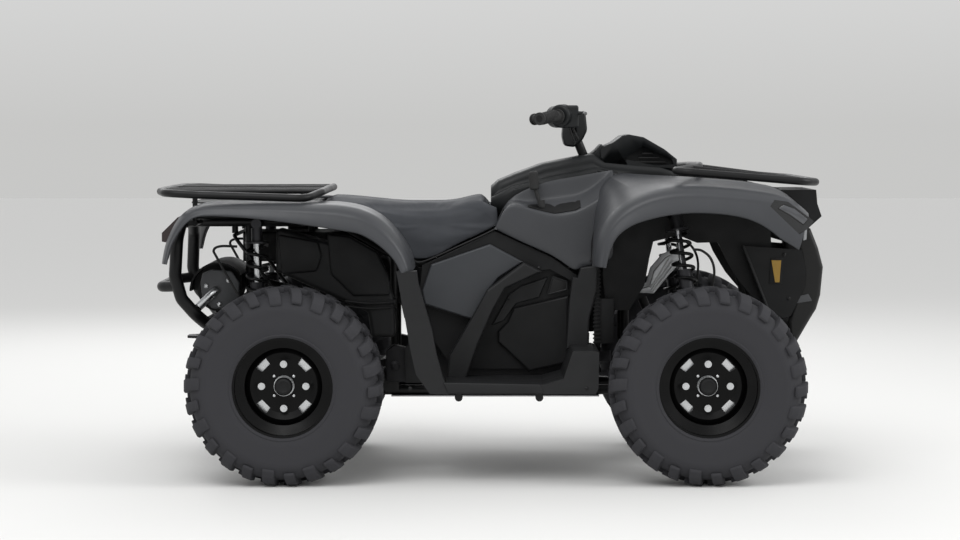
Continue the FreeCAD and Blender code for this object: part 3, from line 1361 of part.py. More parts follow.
def make_front_liners():
    """Inner walls of the front wheel arches with a rim along the fenders."""
    ribs = FRONT_FENDER_RIBS[:-1]
    stations = [(float(front(x)), float(high(z)), slope, rise) for x, z, slope, crease, drop, rise in ribs]
    strip = strip_under(stations, RAIL_HALF + 87, 5, 52)
    crown = [station for station, rib_row in zip(stations, ribs) if -210 < rib_row[0] < 245]
    web = strip_under(crown, RAIL_HALF + 50, 42, 12)
    wall = plate_xz([(front(-300), high(520)), (front(-312), high(640)), (front(-300), high(760)),
                     (front(-250), high(840)),
                     (front(-190), high(890)), (front(-90), high(940)), (front(0), high(940)),
                     (front(90), high(932)),
                     (front(200), high(918)), (front(232), high(880)), (front(224), high(800)),
                     (front(228), high(700)),
                     (front(236), high(520)), (front(204), high(520)), (front(120), high(620)),
                     (front(78), high(690)),
                     (front(58), high(738)), (front(-10), high(736)), (front(-70), high(760)),
                     (front(-150), high(740)),
                     (front(-162), high(690)), (front(-178), high(600)), (front(-226), high(520))],
                    RAIL_HALF + 50, RAIL_HALF + 56)
    stub_room = rod((SHOCK_TOP_FRONT[0], RAIL_HALF + 20, SHOCK_TOP_FRONT[2]),
                    (SHOCK_TOP_FRONT[0], RAIL_HALF + 100, SHOCK_TOP_FRONT[2]), size("frame_tube") + 26)
    liner = fuse_all([wall, web, strip.cut(stub_room)]).cut(stub_room)
    for node in ("front_fenders", "body_sides", "headlamps"):
        liner = liner.cut(made[node].Shape)
    keep_shape("front_liners", both_sides(largest(liner)))


def make_fuel_tank():
    """Moulded tank lobes ahead of the rear wheels, each with a parting bead."""
    y = RAIL_HALF + 42
    outline = [(rear(-39), high(789)), (rear(134), high(741)), (rear(171), high(713)), (rear(190), high(690)),
               (rear(300), high(668)), (rear(332), high(562)), (rear(338), high(440)), (rear(262), high(440)),
               (rear(250), high(520)), (rear(-40), high(650))]
    lobe = rounded(plate_xz(outline, y, y + 105), 14, lambda edge: True)
    bead = rounded(plate_xz([(rear(250), high(548)), (rear(337), high(548)), (rear(336), high(560)),
                             (rear(250), high(560))], y + 10, y + 109), 3, lambda edge: not runs_across(edge))
    keep_shape("fuel_tank", both_sides(fuse_all([lobe, bead])))


def make_air_box():
    """Air box and storage tray between the frame's upper rails."""
    outline = [(rear(-160), high(672)), (rear(-160), high(768)), (rear(312), high(768)),
               (rear(312), high(700)),
               (rear(260), high(672))]
    box = rounded(plate_xz(outline, -126, 126), 10, lambda edge: not runs_across(edge))
    keep_shape("air_box", box)


def make_rear_liners():
    """Inner walls of the rear wheel arches."""
    y = RAIL_HALF + 87
    floor = SHOCK_TOP_REAR[2] + size("frame_tube") / 2 + GAP
    outline = [(rear(-300), high(846)), (rear(-238), high(866)), (rear(-95), high(869)),
               (rear(110), high(867)),
               (rear(214), high(859)), (rear(280), high(830)), (rear(292), floor), (rear(-308), floor)]
    liner = plate_xz(outline, y, y + 4).cut(made["rear_fenders"].Shape)
    keep_shape("rear_liners", both_sides(liner))


def stem_point(along, back=0.0, across=0.0):
    """A point given along the stem's axis, behind it and across it."""
    foot = vec(front(STEM_FOOT_X), 0, high(STEM_FOOT_Z))
    return foot + STEM_UP * along + STEM_BACK * back + Vector(0, across, 0)


def bar_points():
    """Right-angle points of the left half of the handlebar."""
    head = stem_point(float(size("stem_length")))
    half = float(size("bar_span")) / 2
    return [head, head + Vector(0, 55, 0), head + Vector(-5, 150, 40), head + Vector(-25, 230, 48),
            head + Vector(-119, half, 36)]


def make_handlebar():
    """Stem with its foot plate, clamp and bent handlebar."""
    length = float(size("stem_length"))
    reach = float(size("pitman_reach"))
    stem = rod(stem_point(0), stem_point(length + 8), 30)
    outline = [(-22, -18), (-22, 18), (30, 34), (reach + 2, PITMAN_EYE_HALF + 16),
               (reach + 16, PITMAN_EYE_HALF + 6),
               (reach + 16, -PITMAN_EYE_HALF - 6), (reach + 2, -PITMAN_EYE_HALF - 16), (30, -34)]
    points = [stem_point(0, back, across) for back, across in outline]
    plate = Part.Face(Part.makePolygon(points + points[:1])).extrude(STEM_UP * 8)
    for across in (-PITMAN_EYE_HALF, PITMAN_EYE_HALF):
        plate = plate.cut(rod(stem_point(-20, reach, across), stem_point(40, reach, across), 10))
    corners = [stem_point(length + along, back, -34) for along, back in ((-22, -24), (-22, 24), (18, 24),
                                                                         (18, -24))]
    clamp = Part.Face(Part.makePolygon(corners + corners[:1])).extrude(Vector(0, 68, 0))
    bar = tube(bar_points(), size("bar_dia"), 40)
    keep_shape("handlebar", fuse_all([stem, plate, clamp, bar, mirrored(bar)]))


def sleeve_on_bar(start, end, outer):
    """A sleeve round the outer run of the handlebar, between two distances from its end."""
    bend, tip = bar_points()[-2:]
    along = (bend - tip).normalize()
    first, last = tip + along * start, tip + along * end
    shell = rod(first, last, outer)
    return shell.cut(rod(first - along, last + along, float(size("bar_dia")) + 2 * float(GAP)))


def make_grips():
    """Grips with end flanges."""
    grip = sleeve_on_bar(-0.5, 118, size("grip_dia")).fuse(sleeve_on_bar(112, 118,
                                                                         46)).fuse(sleeve_on_bar(-0.5, 6, 40))
    keep_shape("grips", both_sides(grip))


def make_controls():
    """Switch and throttle housings with the brake lever."""
    bend, tip = bar_points()[-2:]
    along = (bend - tip).normalize()
    housing = rounded(rod(tip + along * 121, tip + along * 158, 74), 8, lambda edge: edge.Closed)
    start = tip + along * 140
    pod = block(start.x - 10, start.x + 52, start.y - 16, start.y + 20, start.z - 38, start.z + 34)
    lever = tube([start + Vector(34, 4, 10), start + Vector(74, 20, 8), start + Vector(60, 130, 2)], 12, 20)
    solid = fuse_all([housing, rounded(pod, 8, lambda edge: True), lever])
    solid = solid.cut(rod(tip + along * 100, tip + along * 200, float(size("bar_dia")) + 2 * float(GAP)))
    keep_shape("controls", both_sides(solid))


def build_chassis():
    """Every node that the frame carries."""
    make_skid_plate()
    make_engine()
    make_final_drives()
    make_half_shafts()
    make_front_arms()
    make_trailing_arms()
    make_sway_bar()
    make_shocks()
    make_front_bumper()
    make_rear_bumper()
    make_tow_hitch()
    make_front_rack()
    make_rear_rack()
    make_rear_fenders()
    make_tail_panel()
    make_front_fenders()
    make_body_sides()
    make_side_trims()
    make_side_panels()
    make_engine_covers()
    make_cover_inserts()
    make_footwells()
    make_seat()
    make_console()
    make_gauge_hood()
    make_shift_lever()
    make_exhaust()
    make_exhaust_shield()
    make_front_fascia()
    make_headlamps()
    make_tail_lamps()
    make_front_guards()
    make_front_liners()
    make_fuel_tank()
    make_air_box()
    make_rear_liners()
    make_frame()


build_chassis()
make_handlebar()
make_grips()
make_controls()
make_knuckle("knuckle_right", -1)
make_knuckle("knuckle_left", 1)
make_tie_rod("tie_rod_right", -1)
make_tie_rod("tie_rod_left", 1)
doc.recompute()


def check_and_export():
    """Stop on a failed object, then write one file for each node."""
    for obj in doc.Objects:
        if "Invalid" in obj.State or "Error" in obj.State:
            raise RuntimeError("failed: %s" % obj.Label)
    os.makedirs("parts", exist_ok=True)
    faulty = [node for node, obj in made.items() if obj.Shape.isNull() or not obj.Shape.isValid()]
    faulty += [node for node, obj in made.items() if not obj.Shape.Solids or obj.Shape.Volume < 1]
    if faulty:
        raise RuntimeError("not a valid solid: %s" % ", ".join(faulty))
    for node, obj in made.items():
        obj.Shape.exportStep("parts/%s.step" % node)
        print(node, len(obj.Shape.Solids), round(obj.Shape.Volume / 1000), "cm3")


check_and_export()
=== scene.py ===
"""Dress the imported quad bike: finishes, tyres, soft seat, small fittings, light and camera."""

import json
import logging
import math
from collections.abc import Callable, Sequence
from dataclasses import dataclass
from enum import Enum

import bmesh
import bpy
from mathutils import Matrix, Vector


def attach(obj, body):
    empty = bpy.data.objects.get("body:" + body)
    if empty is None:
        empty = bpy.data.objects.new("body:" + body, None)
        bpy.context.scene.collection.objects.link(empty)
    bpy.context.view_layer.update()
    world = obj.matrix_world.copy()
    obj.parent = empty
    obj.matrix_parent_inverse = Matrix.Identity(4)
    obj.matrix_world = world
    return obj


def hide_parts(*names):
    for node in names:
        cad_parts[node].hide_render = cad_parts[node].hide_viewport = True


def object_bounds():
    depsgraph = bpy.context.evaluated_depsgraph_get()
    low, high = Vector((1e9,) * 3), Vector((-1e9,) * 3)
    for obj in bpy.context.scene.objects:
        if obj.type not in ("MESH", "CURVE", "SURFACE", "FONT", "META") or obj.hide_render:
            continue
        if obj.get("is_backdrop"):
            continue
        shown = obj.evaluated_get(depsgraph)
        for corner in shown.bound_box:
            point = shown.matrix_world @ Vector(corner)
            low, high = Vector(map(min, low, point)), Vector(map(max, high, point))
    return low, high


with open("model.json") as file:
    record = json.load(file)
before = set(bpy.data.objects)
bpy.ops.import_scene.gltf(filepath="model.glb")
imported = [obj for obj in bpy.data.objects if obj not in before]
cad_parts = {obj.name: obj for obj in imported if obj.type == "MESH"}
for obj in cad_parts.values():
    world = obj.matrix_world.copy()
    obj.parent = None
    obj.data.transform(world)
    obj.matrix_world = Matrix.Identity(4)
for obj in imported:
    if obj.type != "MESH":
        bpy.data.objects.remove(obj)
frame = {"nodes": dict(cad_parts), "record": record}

LOG = logging.getLogger("quad_bike")
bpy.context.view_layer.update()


class Grain(Enum):
    """The small relief that a finish shows."""

    SMOOTH = "smooth"
    MOULDED = "moulded"
    HIDE = "hide"
    CAST = "cast"
    BRUSHED = "brushed"
    RUBBER = "rubber"


@dataclass(frozen=True)
class Finish:
    """How one kind of surface looks."""

    name: str
    colour: tuple[float, float, float]
    roughness: float
    metallic: float = 0.0
    spread: float = 0.06
    tint: float = 0.12
    coat: float = 0.0
    coat_roughness: float = 0.1
    grain: Grain = Grain.SMOOTH
    grain_size: float = 0.002
    grain_depth: float = 0.0002
    dust: float = 0.0
    clear: float = 0.0
    gleam: float = 0.5

    def build(self) -> bpy.types.Material:
        """Make the material, or give back the one made before.

        Returns:
            The node-based material.
        """
        known = bpy.data.materials.get(self.name)
        if known is not None:
            return known
        material = bpy.data.materials.new(self.name)
        material.use_nodes = True
        Weave(material, self).dress()
        return material


class Weave:
    """The node graph of one finish."""

    def __init__(self, material: bpy.types.Material, finish: Finish) -> None:
        """Take the material's tree and the finish that it shows.

        Args:
            material: the material to fill.
            finish: the values to build it from.
        """
        self.tree = material.node_tree
        self.finish = finish
        self.shader = self.tree.nodes["Principled BSDF"]
        self.place = self.tree.nodes.new("ShaderNodeTexCoord").outputs["Object"]

    def join(self, source: bpy.types.NodeSocket, target: bpy.types.NodeSocket) -> None:
        """Link two sockets."""
        self.tree.links.new(source, target)

    def noise(self, size: float, detail: float = 3.0) -> bpy.types.NodeSocket:
        """A noise pattern on Object coordinates.

        Args:
            size: the width of its patches, in metres.
            detail: how many finer layers it has.

        Returns:
            The pattern's factor socket.
        """
        node = self.tree.nodes.new("ShaderNodeTexNoise")
        node.inputs["Scale"].default_value = 1.0 / size
        node.inputs["Detail"].default_value = detail
        self.join(self.place, node.inputs["Vector"])
        return node.outputs["Fac"]

    def cells(self, size: float) -> bpy.types.NodeSocket:
        """A cell pattern whose value grows from each cell's middle to its edge.

        Args:
            size: the width of its cells, in metres.

        Returns:
            The pattern's distance socket.
        """
        node = self.tree.nodes.new("ShaderNodeTexVoronoi")
        node.inputs["Scale"].default_value = 1.0 / size
        self.join(self.place, node.inputs["Vector"])
        return node.outputs["Distance"]

    def strokes(self, size: float) -> bpy.types.NodeSocket:
        """Fine parallel strokes, long along X.

        Args:
            size: the width of a stroke, in metres.

        Returns:
            The pattern's factor socket.
        """
        stretch = self.tree.nodes.new("ShaderNodeMapping")
        stretch.inputs["Scale"].default_value = (0.05, 1.0, 1.0)
        self.join(self.place, stretch.inputs["Vector"])
        node = self.tree.nodes.new("ShaderNodeTexNoise")
        node.inputs["Scale"].default_value = 1.0 / size
        self.join(stretch.outputs["Vector"], node.inputs["Vector"])
        return node.outputs["Fac"]

    def shade(self, factor: bpy.types.NodeSocket, low: tuple, high: tuple) -> bpy.types.NodeSocket:
        """Two colours spread over a pattern.

        Args:
            factor: the pattern.
            low: the colour at its low end.
            high: the colour at its high end.

        Returns:
            The colour socket.
        """
        ramp = self.tree.nodes.new("ShaderNodeValToRGB")
        ramp.color_ramp.elements[0].position = 0.3
        ramp.color_ramp.elements[0].color = (*low, 1.0)
        ramp.color_ramp.elements[1].position = 0.7
        ramp.color_ramp.elements[1].color = (*high, 1.0)
        self.join(factor, ramp.inputs["Fac"])
        return ramp.outputs["Color"]

    def spread_over(self, factor: bpy.types.NodeSocket, low: float, high: float) -> bpy.types.NodeSocket:
        """A number that runs from low to high over a pattern.

        Args:
            factor: the pattern.
            low: the number at its low end.
            high: the number at its high end.

        Returns:
            The number's socket.
        """
        span = self.tree.nodes.new("ShaderNodeMapRange")
        span.inputs["From Min"].default_value = 0.3
        span.inputs["From Max"].default_value = 0.7
        span.inputs["To Min"].default_value = low
        span.inputs["To Max"].default_value = high
        self.join(factor, span.inputs["Value"])
        return span.outputs["Result"]

    def relief(self) -> bpy.types.NodeSocket | None:
        """The height pattern of the finish's grain.

        Returns:
            The pattern's socket, or nothing for a smooth finish.
        """
        size = self.finish.grain_size
        makers = {
            Grain.MOULDED: lambda: self.noise(size, 4.0),
            Grain.HIDE: lambda: self.cells(size),
            Grain.CAST: lambda: self.noise(size, 6.0),
            Grain.BRUSHED: lambda: self.strokes(size),
            Grain.RUBBER: lambda: self.noise(size, 8.0),
        }
        maker = makers.get(self.finish.grain)
        return maker() if maker else None

    def bump(self, height: bpy.types.NodeSocket) -> None:
        """Turn a height pattern into a bump on the shader.

        Args:
            height: the pattern.
        """
        node = self.tree.nodes.new("ShaderNodeBump")
        node.inputs["Strength"].default_value = 0.6
        node.inputs["Distance"].default_value = self.finish.grain_depth
        self.join(height, node.inputs["Height"])
        self.join(node.outputs["Normal"], self.shader.inputs["Normal"])

    def dusted(self, colour: bpy.types.NodeSocket) -> bpy.types.NodeSocket:
        """Lay thin dust over a colour in patches.

        Args:
            colour: the colour underneath.

        Returns:
            The dusty colour's socket.
        """
        patches = self.noise(0.035, 6.0)
        mix = self.tree.nodes.new("ShaderNodeMix")
        mix.data_type = "RGBA"
        self.join(self.spread_over(patches, 0.0, self.finish.dust), mix.inputs["Factor"])
        self.join(colour, mix.inputs["A"])
        mix.inputs["B"].default_value = (0.13, 0.115, 0.10, 1.0)
        return mix.outputs["Result"]

    def dress(self) -> None:
        """Build the whole graph."""
        finish = self.finish
        inputs = self.shader.inputs
        inputs["Metallic"].default_value = finish.metallic
        inputs["Specular IOR Level"].default_value = finish.gleam
        inputs["Coat Weight"].default_value = finish.coat
        inputs["Coat Roughness"].default_value = finish.coat_roughness
        inputs["Transmission Weight"].default_value = finish.clear
        low = tuple(part * (1.0 - finish.tint) for part in finish.colour)
        high = tuple(part * (1.0 + finish.tint) for part in finish.colour)
        colour = self.shade(self.noise(0.09, 5.0), low, high)
        if finish.dust:
            colour = self.dusted(colour)
        self.join(colour, inputs["Base Color"])
        rough = self.spread_over(
            self.noise(0.05, 6.0), finish.roughness - finish.spread, finish.roughness + finish.spread
        )
        self.join(rough, inputs["Roughness"])
        height = self.relief()
        if height is not None:
            self.bump(height)


FENDER_PAINT = Finish(
    "fender_paint", (0.040, 0.042, 0.0465), 0.44, tint=0.04, spread=0.04, coat=0.08, coat_roughness=0.22,
    gleam=0.35)
PANEL_PAINT = Finish("panel_paint", (0.040, 0.043, 0.048), 0.46, tint=0.05, spread=0.04, gleam=0.35)
GATE_PLASTIC = Finish(
    "gate_plastic", (0.004, 0.004, 0.0042), 0.45, grain=Grain.MOULDED, grain_depth=0.0001, gleam=0.3)
TRIM_PLASTIC = Finish(
    "trim_plastic", (0.0062, 0.0064, 0.0068), 0.55, grain=Grain.MOULDED, grain_size=0.0016,
    grain_depth=0.00018, gleam=0.25)
CONSOLE_PLASTIC = Finish(
    "console_plastic", (0.0055, 0.0064, 0.0070), 0.50, grain=Grain.MOULDED, grain_size=0.0012,
    grain_depth=0.00012, gleam=0.3)
STEP_PLASTIC = Finish(
    "step_plastic", (0.0105, 0.0108, 0.0115), 0.52, grain=Grain.MOULDED, grain_size=0.0018,
    grain_depth=0.0002, gleam=0.28)
BUMPER_PLASTIC = Finish(
    "bumper_plastic", (0.0070, 0.0070, 0.0068), 0.42, grain=Grain.MOULDED, grain_size=0.0014,
    grain_depth=0.00014, gleam=0.3)
POWDER_COAT = Finish(
    "powder_coat", (0.0022, 0.0023, 0.0026), 0.44, grain=Grain.CAST, grain_size=0.0011, grain_depth=0.00008,
    gleam=0.3)
WHEEL_COAT = Finish(
    "wheel_coat", (0.0012, 0.0012, 0.0013), 0.36, grain=Grain.CAST, grain_size=0.0012, grain_depth=0.00006,
    gleam=0.15)
SEAT_VINYL = Finish(
    "seat_vinyl", (0.038, 0.041, 0.047), 0.66, tint=0.06, grain=Grain.HIDE, grain_size=0.0026,
    grain_depth=0.0003, gleam=0.25)
PIPING_VINYL = Finish(
    "piping_vinyl", (0.006, 0.006, 0.0065), 0.5, grain=Grain.HIDE, grain_size=0.0016, gleam=0.3)
TYRE_RUBBER = Finish(
    "tyre_rubber", (0.0060, 0.0062, 0.0070), 0.74, grain=Grain.RUBBER, grain_size=0.0022, grain_depth=0.0002,
    dust=0.012, gleam=0.08)
BOOT_RUBBER = Finish(
    "boot_rubber", (0.006, 0.006, 0.0064), 0.62, grain=Grain.RUBBER, grain_size=0.0018, grain_depth=0.00012,
    gleam=0.25)
GRIP_RUBBER = Finish(
    "grip_rubber", (0.006, 0.006, 0.0064), 0.70, grain=Grain.RUBBER, grain_size=0.0012, grain_depth=0.0002,
    gleam=0.25)
BRIGHT_STEEL = Finish(
    "bright_steel", (0.60, 0.61, 0.62), 0.28, metallic=1.0, tint=0.05, grain=Grain.BRUSHED, grain_size=0.0009,
    grain_depth=0.00004)
DAMPER_STEEL = Finish(
    "damper_steel", (0.030, 0.030, 0.033), 0.36, metallic=0.6, tint=0.08, grain=Grain.BRUSHED,
    grain_size=0.001, grain_depth=0.00005, gleam=0.35)
CAST_ALLOY = Finish(
    "cast_alloy", (0.46, 0.47, 0.48), 0.46, metallic=0.75, tint=0.12, grain=Grain.CAST, grain_size=0.0022,
    grain_depth=0.0003)
DARK_CASTING = Finish(
    "dark_casting", (0.012, 0.012, 0.013), 0.50, metallic=0.4, tint=0.15, grain=Grain.CAST, grain_size=0.002,
    grain_depth=0.00025, gleam=0.3)
SKID_SHEET = Finish(
    "skid_sheet", (0.30, 0.30, 0.31), 0.45, metallic=1.0, tint=0.1, grain=Grain.BRUSHED, grain_size=0.0012,
    grain_depth=0.00006)
HEAT_COAT = Finish(
    "heat_coat", (0.0065, 0.0065, 0.007), 0.50, grain=Grain.CAST, grain_size=0.0014, grain_depth=0.0001,
    gleam=0.3)
END_COAT = Finish(
    "end_coat", (0.060, 0.062, 0.066), 0.50, metallic=0.3, grain=Grain.CAST, grain_size=0.0016,
    grain_depth=0.00012)
AMBER_LENS = Finish("amber_lens", (0.48, 0.24, 0.016), 0.22, tint=0.06, coat=0.4, coat_roughness=0.06)
RED_LENS = Finish("red_lens", (0.014, 0.0035, 0.0035), 0.18, tint=0.06, coat=0.5, coat_roughness=0.05)
LAMP_LENS = Finish("lamp_lens", (0.010, 0.0105, 0.0115), 0.12, tint=0.04, coat=0.6, coat_roughness=0.04)
# Header covers: partly real silver alloy, partly painted sunlight. The base is paler and less metallic than
# bare alloy, so they look sunlit even in shade.
ALLOY_SHEET_PAINTED_SUN = Finish(
    "alloy_sheet_painted_sun", (0.62, 0.63, 0.64), 0.34, metallic=0.35, tint=0.06, grain=Grain.BRUSHED, grain_size=0.0012,
    grain_depth=0.00006)
LAMP_GLASS = Finish("lamp_glass", (0.045, 0.047, 0.052), 0.10, tint=0.3, coat=0.7, coat_roughness=0.03)
MARKER_LENS = Finish("marker_lens", (0.30, 0.31, 0.32), 0.20, tint=0.04, coat=0.5, coat_roughness=0.05)


SLOT_FINISHES = {
    "tyre_rubber": TYRE_RUBBER,
    "rim_black": WHEEL_COAT,
    "hub_metal": BRIGHT_STEEL,
    "frame_black": POWDER_COAT,
    "skid_metal": SKID_SHEET,
    "engine_cast": CAST_ALLOY,
    "cast_dark": DARK_CASTING,
    "boot_rubber": BOOT_RUBBER,
    "spring_paint": POWDER_COAT,
    "damper_metal": DAMPER_STEEL,
    "bar_metal": POWDER_COAT,
    "dark_plastic": TRIM_PLASTIC,
    "grey_plastic": FENDER_PAINT,
    "panel_grey": PANEL_PAINT,
    "seat_cover": SEAT_VINYL,
    "exhaust_metal": HEAT_COAT,
    "lamp_clear": LAMP_LENS,
    "lamp_red": RED_LENS,
    "amber_lens": AMBER_LENS,
    "grip_rubber": GRIP_RUBBER,
}

NODE_FINISHES = {
    "console": CONSOLE_PLASTIC,
    "gauge_hood": CONSOLE_PLASTIC,
    "controls": CONSOLE_PLASTIC,
    "footwells": STEP_PLASTIC,
    "front_bumper": BUMPER_PLASTIC,
    "headlamps": LAMP_LENS,
    "engine": DARK_CASTING,
    "cover_inserts": STEP_PLASTIC,
}


def dress_cad_nodes() -> None:
    """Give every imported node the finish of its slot, or one of its own."""
    slots = {row["node"]: row["material_slot"] for row in frame["record"]["subparts"]}
    for name, node in frame["nodes"].items():
        finish = NODE_FINISHES.get(name) or SLOT_FINISHES[slots[name]]
        node.data.materials.clear()
        node.data.materials.append(finish.build())
    LOG.info("finishes on %d nodes", len(frame["nodes"]))


FRONT_AXLE_X = 0.675
REAR_AXLE_X = -0.635
AXLE_HEIGHT = 0.307
FRONT_TRACK_HALF = 0.4825
REAR_TRACK_HALF = 0.457


def skin(rows: Sequence[Sequence[tuple]], closed: bool = False) -> bmesh.types.BMesh:
    """A sheet of quads through rows of points.

    Args:
        rows: rows of points, each with the same number of them.
        closed: whether each row is a ring and the ends are capped.

    Returns:
        The sheet, or the closed hull.
    """
    rows = [row + row[:1] for row in rows] if closed else rows
    last_column, last_row = len(rows[0]) - 1, len(rows) - 1
    shape = bmesh.new()
    sheet = bmesh.ops.create_grid(shape, x_segments=last_column, y_segments=last_row, size=0.5)
    for vert in sheet["verts"]:
        row, column = round((vert.co.y + 0.5) * last_row), round((vert.co.x + 0.5) * last_column)
        vert.co = Vector(rows[row][column])
    if closed:
        bmesh.ops.remove_doubles(shape, verts=shape.verts, dist=0.00001)
        bmesh.ops.holes_fill(shape, edges=[edge for edge in shape.edges if edge.is_boundary], sides=0)
        bmesh.ops.recalc_face_normals(shape, faces=shape.faces)
    return shape


def turned_out(shape: bmesh.types.BMesh, way: Vector) -> bmesh.types.BMesh:
    """Make an open sheet face a direction.

    Args:
        shape: the sheet.
        way: the direction that most of it should face.

    Returns:
        The same sheet.
    """
    shape.normal_update()
    if sum(face.normal.dot(way) * face.calc_area() for face in shape.faces) < 0.0:
        bmesh.ops.reverse_faces(shape, faces=shape.faces)
    return shape


def slab(
        outline: Sequence[tuple], y_low: float, y_high: float, soften: float,
        segments: int = 3) -> bmesh.types.BMesh:
    """A plate with a side outline of (x, z) points and softened edges.

    Args:
        outline: the outline's corners.
        y_low: the inner plane.
        y_high: the outer plane.
        soften: the bevel's width, or 0 for sharp edges.
        segments: the bevel's segments.

    Returns:
        The plate.
    """
    shape = bmesh.new()
    face = shape.faces.new([shape.verts.new((x, y_low, z)) for x, z in outline])
    grown = bmesh.ops.extrude_face_region(shape, geom=[face])["geom"]
    moved = [item for item in grown if isinstance(item, bmesh.types.BMVert)]
    bmesh.ops.translate(shape, verts=moved, vec=(0.0, y_high - y_low, 0.0))
    bmesh.ops.recalc_face_normals(shape, faces=shape.faces)
    if soften:
        bmesh.ops.bevel(
            shape, geom=shape.edges[:], offset=soften, segments=segments, affect="EDGES", profile=0.5,
            material=-1)
    return shape


def turned(profile: Sequence[tuple], steps: int = 48, closed: bool = False) -> bmesh.types.BMesh:
    """A body of revolution about the Y axis.

    Args:
        profile: (along Y, radius) points, from end to end.
        steps: how many steps go round.
        closed: whether the profile is a ring of its own, such as a tyre's section.

    Returns:
        The closed body.
    """
    shape = bmesh.new()
    verts = [shape.verts.new((0.0, y, radius)) for y, radius in profile]
    pairs = list(zip(verts, verts[1:])) + ([(verts[-1], verts[0])] if closed else [])
    edges = [shape.edges.new(pair) for pair in pairs]
    bmesh.ops.spin(
        shape, geom=verts + edges, cent=(0.0, 0.0, 0.0), axis=(0.0, 1.0, 0.0), angle=math.tau, steps=steps,
        use_merge=True)
    bmesh.ops.remove_doubles(shape, verts=shape.verts, dist=0.00001)
    bmesh.ops.recalc_face_normals(shape, faces=shape.faces)
    return shape


def mirrored(shape: bmesh.types.BMesh) -> bmesh.types.BMesh:
    """Add the mirror image in the centre plane to a closed shape.

    Args:
        shape: the left half.

    Returns:
        Both halves.
    """
    geom = shape.verts[:] + shape.edges[:] + shape.faces[:]
    bmesh.ops.mirror(shape, geom=geom, matrix=Matrix.Identity(4), merge_dist=-1.0, axis="Y")
    bmesh.ops.recalc_face_normals(shape, faces=shape.faces)
    return shape


def joined(shapes: list[bmesh.types.BMesh]) -> bmesh.types.BMesh:
    """Put several shapes in one, and free them.

    Args:
        shapes: the shapes.

    Returns:
        One shape that holds them all.
    """
    whole = bmesh.new()
    for shape in shapes:
        carrier = bpy.data.meshes.new("carrier")
        shape.to_mesh(carrier)
        shape.free()
        whole.from_mesh(carrier)
        bpy.data.meshes.remove(carrier)
    return whole


@dataclass(frozen=True)
class Piece:
    """What a finished mesh is called, wears and rides on."""

    name: str
    finish: Finish
    slot: str
    body: str = "chassis"
    sharp_deg: float = 38.0

    def make(self, shape: bmesh.types.BMesh, *stands_for: str) -> bpy.types.Object:
        """Turn a shape into an object of the scene.

        Args:
            shape: the shape, which is freed.
            stands_for: the CAD nodes that it replaces.

        Returns:
            The object.
        """
        mesh = bpy.data.meshes.new(self.name)
        shape.to_mesh(mesh)
        shape.free()
        mesh.shade_smooth()
        mesh.set_sharp_from_angle(angle=math.radians(self.sharp_deg))
        mesh.materials.append(self.finish.build())
        thing = bpy.data.objects.new(self.name, mesh)
        bpy.context.scene.collection.objects.link(thing)
        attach(thing, self.body)
        if stands_for:
            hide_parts(*stands_for)
        LOG.info("%s: %d faces", self.name, len(mesh.polygons))
        return thing


def add_mirror(thing: bpy.types.Object) -> None:
    """Show the left half of a piece on the right as well.

    Args:
        thing: the left half.
    """
    both = thing.modifiers.new("both_sides", "MIRROR")
    both.use_axis = (False, True, False)
    both.use_mirror_merge = False


def add_smoothing(thing: bpy.types.Object, levels: int = 2) -> None:
    """Round a piece with a subdivision surface.

    Args:
        thing: the piece.
        levels: how often its faces are divided.
    """
    rounding = thing.modifiers.new("rounding", "SUBSURF")
    rounding.levels = levels
    rounding.render_levels = levels


def add_wall(thing: bpy.types.Object, gauge: float, edge: float = 0.0012) -> None:
    """Give a sheet a wall behind its face and soften its edges.

    Args:
        thing: the sheet.
        gauge: the wall's thickness.
        edge: the width of the softened edge.
    """
    wall = thing.modifiers.new("wall", "SOLIDIFY")
    wall.thickness = gauge
    wall.offset = -1.0
    soft = thing.modifiers.new("soft_edges", "BEVEL")
    soft.width = edge
    soft.segments = 2
    soft.limit_method = "ANGLE"
    soft.angle_limit = math.radians(55.0)


def crease_lines(shape: bmesh.types.BMesh, picks: Callable[[bmesh.types.BMEdge], float]) -> None:
    """Hold chosen edges while the piece is rounded.

    Args:
        shape: the piece.
        picks: gives each edge its hold, from 0 for none to 1.
    """
    layer = shape.edges.layers.float.new("crease_edge")
    for edge in shape.edges:
        edge[layer] = picks(edge)


def settle(thing: bpy.types.Object) -> None:
    """Apply every modifier of a piece.

    Args:
        thing: the piece.
    """
    graph = bpy.context.evaluated_depsgraph_get()
    mesh = bpy.data.meshes.new_from_object(thing.evaluated_get(graph))
    old = thing.data
    thing.modifiers.clear()
    thing.data = mesh
    mesh.name = thing.name
    bpy.data.meshes.remove(old)


def carve(thing: bpy.types.Object, tool: bmesh.types.BMesh) -> None:
    """Cut a closed shape out of a piece and keep the result as its mesh.

    Args:
        thing: the piece, whose modifiers are applied.
        tool: the shape to take away, which is freed.
    """
    mesh = bpy.data.meshes.new("tool")
    tool.to_mesh(mesh)
    tool.free()
    cutter = bpy.data.objects.new("tool", mesh)
    bpy.context.scene.collection.objects.link(cutter)
    cut = thing.modifiers.new("cut", "BOOLEAN")
    cut.operation = "DIFFERENCE"
    cut.solver = "EXACT"
    cut.object = cutter
    settle(thing)
    bpy.data.objects.remove(cutter)
    bpy.data.meshes.remove(mesh)


